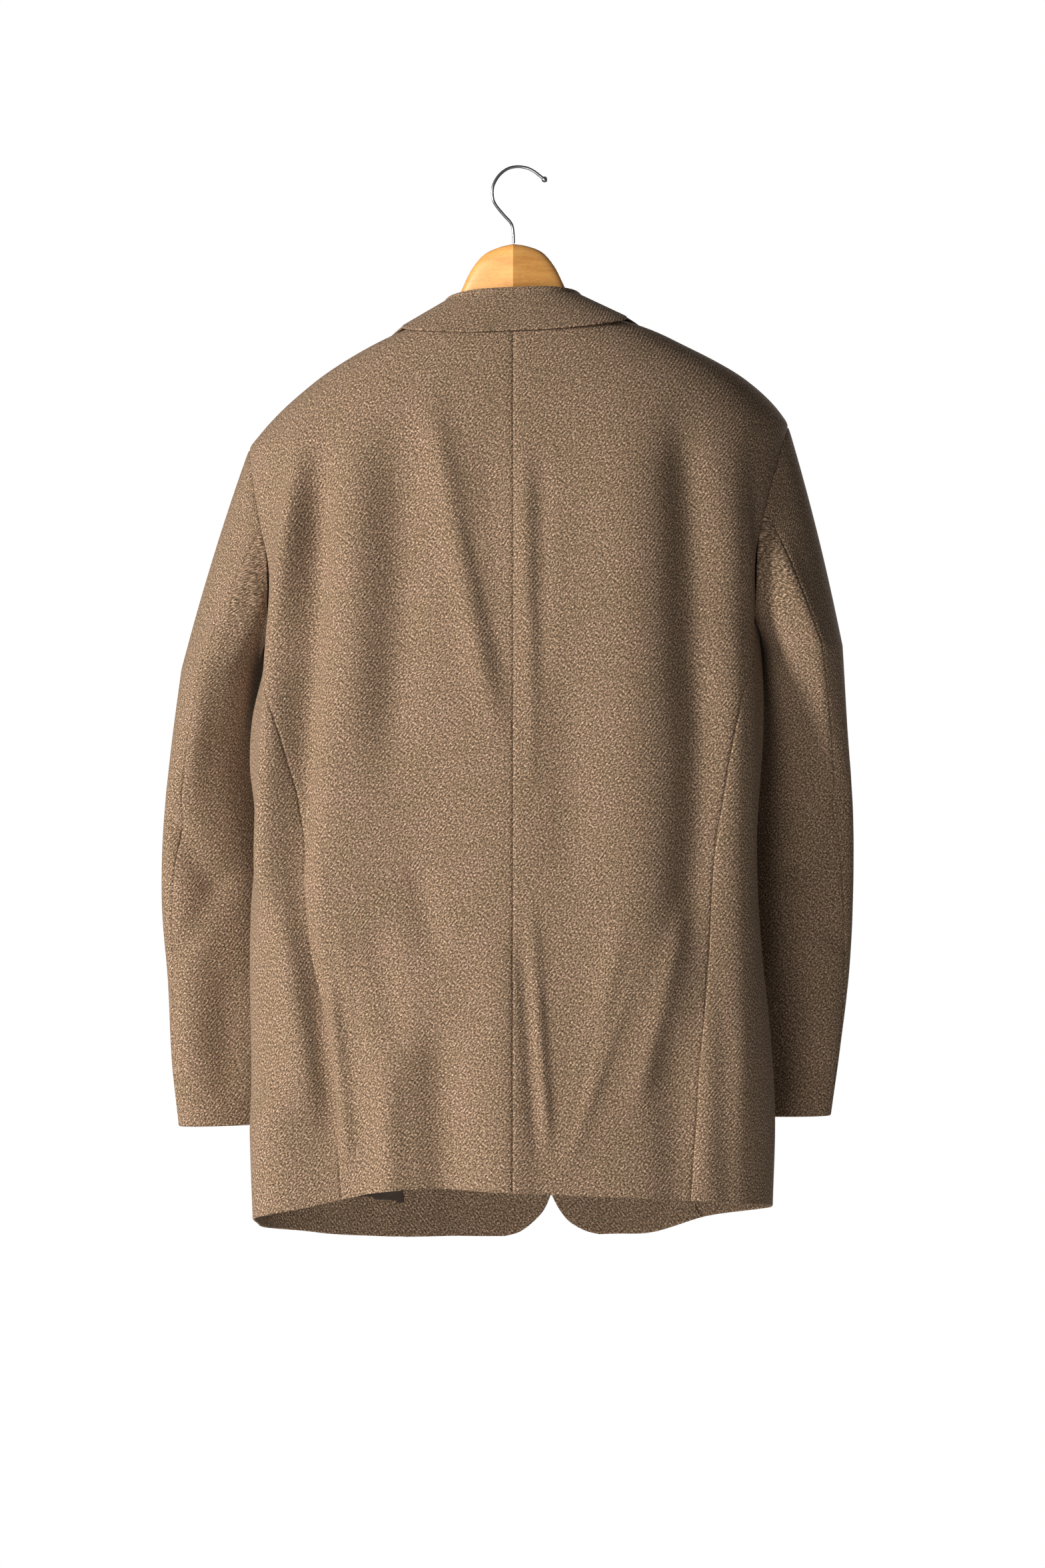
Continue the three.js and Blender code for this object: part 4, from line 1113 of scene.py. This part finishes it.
def tube(made, path, radius, sides=8):
    """Adds a closed round strand along a path of points to a mesh that is being made."""
    path = [Vector(p) for p in path]
    rings = []
    for i, point in enumerate(path):
        ahead = (path[min(i + 1, len(path) - 1)] - path[max(i - 1, 0)]).normalized()
        side_way = ahead.orthogonal().normalized()
        other = ahead.cross(side_way)
        spokes = [side_way * math.cos(a) + other * math.sin(a) for a in circle(sides)]
        rings.append([made.verts.new(point + spoke * radius) for spoke in spokes])
    join_rings(made, rings)
    made.faces.new(rings[0][::-1])
    made.faces.new(rings[-1])


def to_piece(name, made, material, is_smooth=True):
    mesh = bpy.data.meshes.new(name)
    bmesh.ops.recalc_face_normals(made, faces=made.faces)
    made.to_mesh(mesh)
    made.free()
    mesh.materials.append(material)
    mesh.polygons.foreach_set("use_smooth", [is_smooth] * len(mesh.polygons))
    return put_in_scene(name, mesh)


def made_mesh(maker):
    graph = bpy.context.evaluated_depsgraph_get()
    return bpy.data.meshes.new_from_object(maker.evaluated_get(graph))


BUTTONS = {"button_upper": -562.0, "button_lower": -665.0}
for node_name, height in BUTTONS.items():
    x = np.array(centre_front(height))
    seat, out = front_skin(1, front_turn_at(1, x, np.array(height)), np.array(height), LAYER_GAP)
    seat, out = in_frame(seat), Vector(out).normalized()
    level = Vector((0, 0, 1)).cross(out).normalized()
    rising = out.cross(level)

    def on_button(a, b, c):
        return seat + (level * a + rising * b + out * c) / 1000

    made = bmesh.new()
    rings = [
        [made.verts.new(on_button(radius * math.cos(a), radius * math.sin(a), rise)) for a in circle()]
        for radius, rise in BUTTON_PROFILE[1:-1]
    ]
    join_rings(made, rings)
    under = made.verts.new(on_button(0, 0, 0))
    over = made.verts.new(on_button(0, 0, BUTTON_PROFILE[-1][1]))
    for k in range(ROUND_SIDES):
        n = (k + 1) % ROUND_SIDES
        made.faces.new((under, rings[0][n], rings[0][k]))
        made.faces.new((over, rings[-1][k], rings[-1][n]))
    blank = to_piece(f"horn_{node_name}", made, horn)
    drills = bmesh.new()
    for a in (-HOLE_PLACE, HOLE_PLACE):
        for b in (-HOLE_PLACE, HOLE_PLACE):
            tube(drills, [on_button(a, b, c) for c in (-1, 6)], BUTTON_HOLE / 1000, 16)
    drill = to_piece(f"drill_{node_name}", drills, horn)
    cut = blank.modifiers.new("holes", "BOOLEAN")
    cut.operation, cut.object, cut.solver = "DIFFERENCE", drill, "EXACT"
    drilled = made_mesh(blank)
    blank.modifiers.clear()
    blank.data = drilled
    bpy.data.objects.remove(drill)
    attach(blank, "root")
    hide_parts(node_name)
    strands = bmesh.new()
    for b in (-HOLE_PLACE, HOLE_PLACE):
        for shift in (-THREAD_PLACE, THREAD_PLACE):
            path = []
            for t in np.linspace(0, 1, 9):
                rise = 1.4 + 1.35 * math.sin(math.pi * t) ** 0.5
                path.append(on_button(mix(-HOLE_PLACE, HOLE_PLACE, t), b + shift, rise))
            tube(strands, path, THREAD_RADIUS)
    sewn = to_piece(f"thread_{node_name}", strands, thread)
    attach(sewn, "root")

# ---- Buttonhole stitches ----
# Each buttonhole is whipped round by hand with close stitches. They lie side by side on a path
# round the slit, on the left front.
class Maker:
    """Nodes that make a mesh along a path, with named sizes."""

    def __init__(self, name, sizes):
        self.tree = bpy.data.node_groups.new(name, "GeometryNodeTree")
        face = self.tree.interface
        face.new_socket("Path", in_out="INPUT", socket_type="NodeSocketGeometry")
        self.sizes = {
            face.new_socket(key, in_out="INPUT", socket_type="NodeSocketFloat").identifier: value
            for key, value in sizes.items()
        }
        face.new_socket("Made", in_out="OUTPUT", socket_type="NodeSocketGeometry")
        self.start, self.end = self.node("NodeGroupInput"), self.node("NodeGroupOutput")

    def node(self, kind, links=None, mode=None, **values):
        """A node with its inputs linked from (node, output) pairs, or set to plain values."""
        made = self.tree.nodes.new(kind)
        if mode:
            made.mode = mode
        for key, (giver, output) in (links or {}).items():
            self.tree.links.new(giver.outputs[output], made.inputs[key])
        for key, value in values.items():
            made.inputs[key.replace("_", " ")].default_value = value
        return made

    def strand(self, path, radius, resolution):
        """A round strand of the named radius along the path that a node gives."""
        ring = self.node(
            "GeometryNodeCurvePrimitiveCircle", {"Radius": (self.start, radius)}, Resolution=resolution
        )
        links = {"Curve": path, "Profile Curve": (ring, "Curve")}
        return self.node("GeometryNodeCurveToMesh", links, Fill_Caps=True)

    def finish(self, shape, material):
        links = {"Geometry": (shape, "Geometry")}
        paint = self.node("GeometryNodeSetMaterial", links, Material=material)
        self.tree.links.new(paint.outputs["Geometry"], self.end.inputs["Made"])

    def along(self, paths):
        """The plain mesh that these nodes make along paths of points, closed or open."""
        name = self.tree.name
        curve = bpy.data.curves.new(name, "CURVE")
        curve.dimensions = "3D"
        for path, is_closed in paths:
            spline = curve.splines.new("POLY")
            spline.points.add(len(path) - 1)
            for point, place in zip(spline.points, path):
                point.co = (*place, 1)
            spline.use_cyclic_u = is_closed
        carrier = put_in_scene(name, curve)
        modifier = carrier.modifiers.new(name, "NODES")
        modifier.node_group = self.tree
        for key, value in self.sizes.items():
            modifier[key] = value
        mesh = made_mesh(carrier)
        bpy.data.objects.remove(carrier)
        return mesh


def stitches(name, sizes, material):
    """Puts short bars of thread at even steps on a path, across it."""
    made = Maker(name, sizes)
    steps = made.node(
        "GeometryNodeCurveToPoints",
        {"Curve": (made.start, "Path"), "Length": (made.start, "Spacing")},
        mode="LENGTH",
    )
    ends = made.node("ShaderNodeCombineXYZ", {"X": (made.start, "Bar length")})
    line = made.node("GeometryNodeCurvePrimitiveLine", {"End": (ends, "Vector")})
    strand = made.strand((line, "Curve"), "Thickness", 6)
    put = made.node(
        "GeometryNodeInstanceOnPoints",
        {"Points": (steps, "Points"), "Instance": (strand, "Mesh"), "Rotation": (steps, "Rotation")},
    )
    real = made.node("GeometryNodeRealizeInstances", {"Geometry": (put, "Instances")})
    made.finish(real, material)
    return made


hole_paths = []
for height in BUTTONS.values():
    ring = []
    for a in circle(40):
        x = centre_front(height) - 3 + 11.5 * math.cos(a)
        h = height + 1.7 * math.sin(a)
        turn = front_turn_at(1, np.array(x), np.array(h))
        spot = front_skin(1, turn, np.array(h), 0.25)[0]
        ring.append(in_frame(spot))
    hole_paths.append((ring, True))
stitch_sizes = {"Spacing": 0.00055, "Bar length": 0.0013, "Thickness": 0.00022}
whipping = put_in_scene(
    "buttonhole_stitches",
    stitches("whipping", stitch_sizes, thread).along(hole_paths),
)
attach(whipping, "root")

# ---- Wooden hanger ----
# Two arms of clear varnished beech, joined at the middle, where they meet in a sharp ridge, and
# swept forward to the shoulders.
HANGER_ROWS = table(
    "x top low half",
    (0, -71, -121, 6.5),
    (12, -73, -123, 6.5),
    (26, -79, -128, 6.5),
    (37, -92, -134, 6.5),
    (46, -110, -141, 6.5),
    (54, -124, -149, 6.5),
    (66, -135, -157, 7),
    (85, -144, -170, 7),
    (105, -151, -181, 8),
    (125, -160, -191, 8),
    (148, -172, -203, 9),
    (171, -186, -216, 10),
    (191, -200, -228, 10),
    (206, -212, -238, 9),
    (215, -221, -240, 6),
)
MIDDLE_DEPTH, ARM_SWEEP = 36.0, 0.27  # mm behind the coat's middle, less forward for each mm out


def wood_finish(name):
    made = Finish(name)
    place = made.node("TexCoord").outputs["Object"]
    grain = made.noise(made.stretched(place, (9, 60, 130)), 1.6, 5.0, 0.62)
    pores = made.noise(made.stretched(place, (60, 900, 1500)), 1.0, 2.0, 0.5)
    colour = made.ramp(
        grain,
        (0.3, (0.7, 0.31, 0.075)),
        (0.5, (0.82, 0.39, 0.1)),
        (0.7, (0.88, 0.46, 0.13)),
    )
    dark = made.ramp(pores, (0.3, (0.86, 0.8, 0.72)), (0.5, (1, 1, 1)))
    colour = made.blend(1.0, colour, dark, "MULTIPLY")
    made.surface_of(Base_Color=colour, Roughness=0.4, Coat_Weight=0.4, Coat_Roughness=0.18)
    made.bump(made.maths("MULTIPLY_ADD", pores, 0.5, grain), 0.0002, 0.25)
    return made.material


wood = wood_finish("varnished_wood")
arm_places = np.unique(np.concatenate([np.linspace(0, 215, 87), [0.25, 0.6, 214.3, 213]]))
stations = np.concatenate([-arm_places[::-1][:-1], arm_places])
made = bmesh.new()
rings = []
for x in stations:
    read = {n: float(column(HANGER_ROWS, "x", n, abs(x))) for n in ("top", "low", "half")}
    end_round = math.sqrt(max(0.0, 1 - max(0.0, (abs(x) - 208) / 7.6) ** 2))
    tall = (read["top"] - read["low"]) / 2 * mix(0.55, 1, end_round)
    half = read["half"] * mix(0.45, 1, end_round)
    ring = []
    for a in circle():
        c, s = math.cos(a), math.sin(a)
        reach = (abs(c) ** 3 + abs(s) ** 3) ** (-1 / 3)
        y = MIDDLE_DEPTH - ARM_SWEEP * abs(x) + half * c * reach
        z = (read["top"] + read["low"]) / 2 + tall * s * reach - NECK_TILT * x
        ring.append(made.verts.new(in_frame((x, y, z))))
    rings.append(ring)
join_rings(made, rings)
made.faces.new(rings[0])
made.faces.new(rings[-1])
hanger = to_piece("wooden_hanger", made, wood)
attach(hanger, "root")
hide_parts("hanger")

# ---- Hook ----
# A chromed steel wire, screwed into the middle of the hanger, bowed out and bent round to a small
# ball end.
HOOK_ROUTE = (
    (-0.6, -70.3),
    (-0.1, -59),
    (1.8, -52.8),
    (6.9, -47),
    (12.7, -40.2),
    (16.7, -33.8),
    (17.9, -26.3),
    (16.7, -18.8),
    (12.1, -11.2),
    (5.1, -5.7),
    (-3, -3.7),
    (-11.7, -4.7),
    (-18.1, -7.7),
    (-23.3, -11.6),
    (-27.4, -14.8),
)
WIRE_RADIUS, BALL_RADIUS = 0.0013, 0.0026


def chrome_finish(name):
    made = Finish(name)
    place = made.node("TexCoord").outputs["Object"]
    wear = made.noise(place, 900.0, 3.0, 0.6)
    colour = made.ramp(wear, (0.3, (0.3, 0.3, 0.31)), (0.7, (0.48, 0.48, 0.49)))
    made.surface_of(Base_Color=colour, Metallic=1.0, Roughness=0.24)
    made.bump(wear, 0.00005, 0.3)
    return made.material


def bent_hook(name, sizes, material):
    """A round wire along a path, with a ball on its far end."""
    made = Maker(name, sizes)
    wire = made.strand((made.start, "Path"), "Wire radius", 24)
    last = made.node("GeometryNodeCurveEndpointSelection", Start_Size=0, End_Size=1)
    links = {"Radius": (made.start, "Ball radius")}
    ball = made.node("GeometryNodeMeshUVSphere", links, Segments=32, Rings=20)
    put = made.node(
        "GeometryNodeInstanceOnPoints",
        {"Points": (made.start, "Path"), "Selection": (last, "Selection"), "Instance": (ball, "Mesh")},
    )
    both = made.node("GeometryNodeJoinGeometry", {"Geometry": (wire, "Mesh")})
    made.tree.links.new(put.outputs["Instances"], both.inputs["Geometry"])
    real = made.node("GeometryNodeRealizeInstances", {"Geometry": (both, "Geometry")})
    even = made.node("GeometryNodeSetShadeSmooth", {"Geometry": (real, "Geometry")})
    made.finish(even, material)
    return made


def rounded_route(route, steps=12):
    """A smooth path through the bends of the wire."""
    route = [route[0], *route, route[-1]]
    path = []
    for a, b, c, d in zip(route, route[1:], route[2:], route[3:]):
        for k in range(steps):
            t = k / steps
            bend = (2 * a - 5 * b + 4 * c - d) * t * t + (3 * b - a - 3 * c + d) * t**3
            path.append(0.5 * (2 * b + (c - a) * t + bend))
    return path + [route[-1]]


route = [in_frame((x, MIDDLE_DEPTH, z)) for x, z in HOOK_ROUTE]
hook_maker = bent_hook(
    "hook_path",
    {"Wire radius": WIRE_RADIUS, "Ball radius": BALL_RADIUS},
    chrome_finish("chrome"),
)
hook = put_in_scene("wire_hook", hook_maker.along([(rounded_route(route), False)]))
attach(hook, "root")
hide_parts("hook")

# ---- Floor and light ----
# A plain pale floor under the coat, one large soft light from the coat's left and behind it, a weak
# one low behind it, and a fill in front.
floor_mesh = bpy.data.meshes.new("floor")
floor_mesh.from_pydata(
    [(-1.3, -1.3, -1.45), (1.3, -1.3, -1.45), (1.3, 1.3, -1.45), (-1.3, 1.3, -1.45)],
    [],
    [(0, 1, 2, 3)],
)
floor = put_in_scene("floor", floor_mesh)
pale = Finish("pale_floor")
pale.surface_of(Base_Color=(0.86, 0.86, 0.85, 1), Roughness=0.8)
floor_mesh.materials.append(pale.material)


def soft_light(name, place, target, size, power, colour=(1, 1, 1)):
    lamp = bpy.data.lights.new(name, "AREA")
    lamp.shape, lamp.size, lamp.energy, lamp.color = "DISK", size, power, colour
    held = put_in_scene(name, lamp)
    held.location = place
    held.rotation_euler = (Vector(target) - Vector(place)).to_track_quat("-Z", "Y").to_euler()


soft_light("key_light", (3.1, 2.2, 0.2), (0, 0, -0.5), 1.1, 190, (1.0, 0.98, 0.95))
soft_light("low_light", (1.0, 3.0, -1.5), (0, 0, -0.7), 1.5, 34)
soft_light("front_light", (-1.6, -3.2, 0.6), (0, 0, -0.5), 1.8, 45)

# The room gives a dim light, and the camera sees it as plain white.
world = bpy.data.worlds.new("studio")
world.use_nodes = True
bpy.context.scene.world = world
tree = world.node_tree
sky, bright = tree.nodes["Background"], tree.nodes.new("ShaderNodeBackground")
for shader, strength in ((sky, 0.12), (bright, 1.0)):
    shader.inputs["Color"].default_value = (1, 1, 1, 1)
    shader.inputs["Strength"].default_value = strength
seen = tree.nodes.new("ShaderNodeLightPath")
either = tree.nodes.new("ShaderNodeMixShader")
tree.links.new(seen.outputs["Is Camera Ray"], either.inputs[0])
tree.links.new(sky.outputs["Background"], either.inputs[1])
tree.links.new(bright.outputs["Background"], either.inputs[2])
tree.links.new(either.outputs["Shader"], tree.nodes["World Output"].inputs["Surface"])
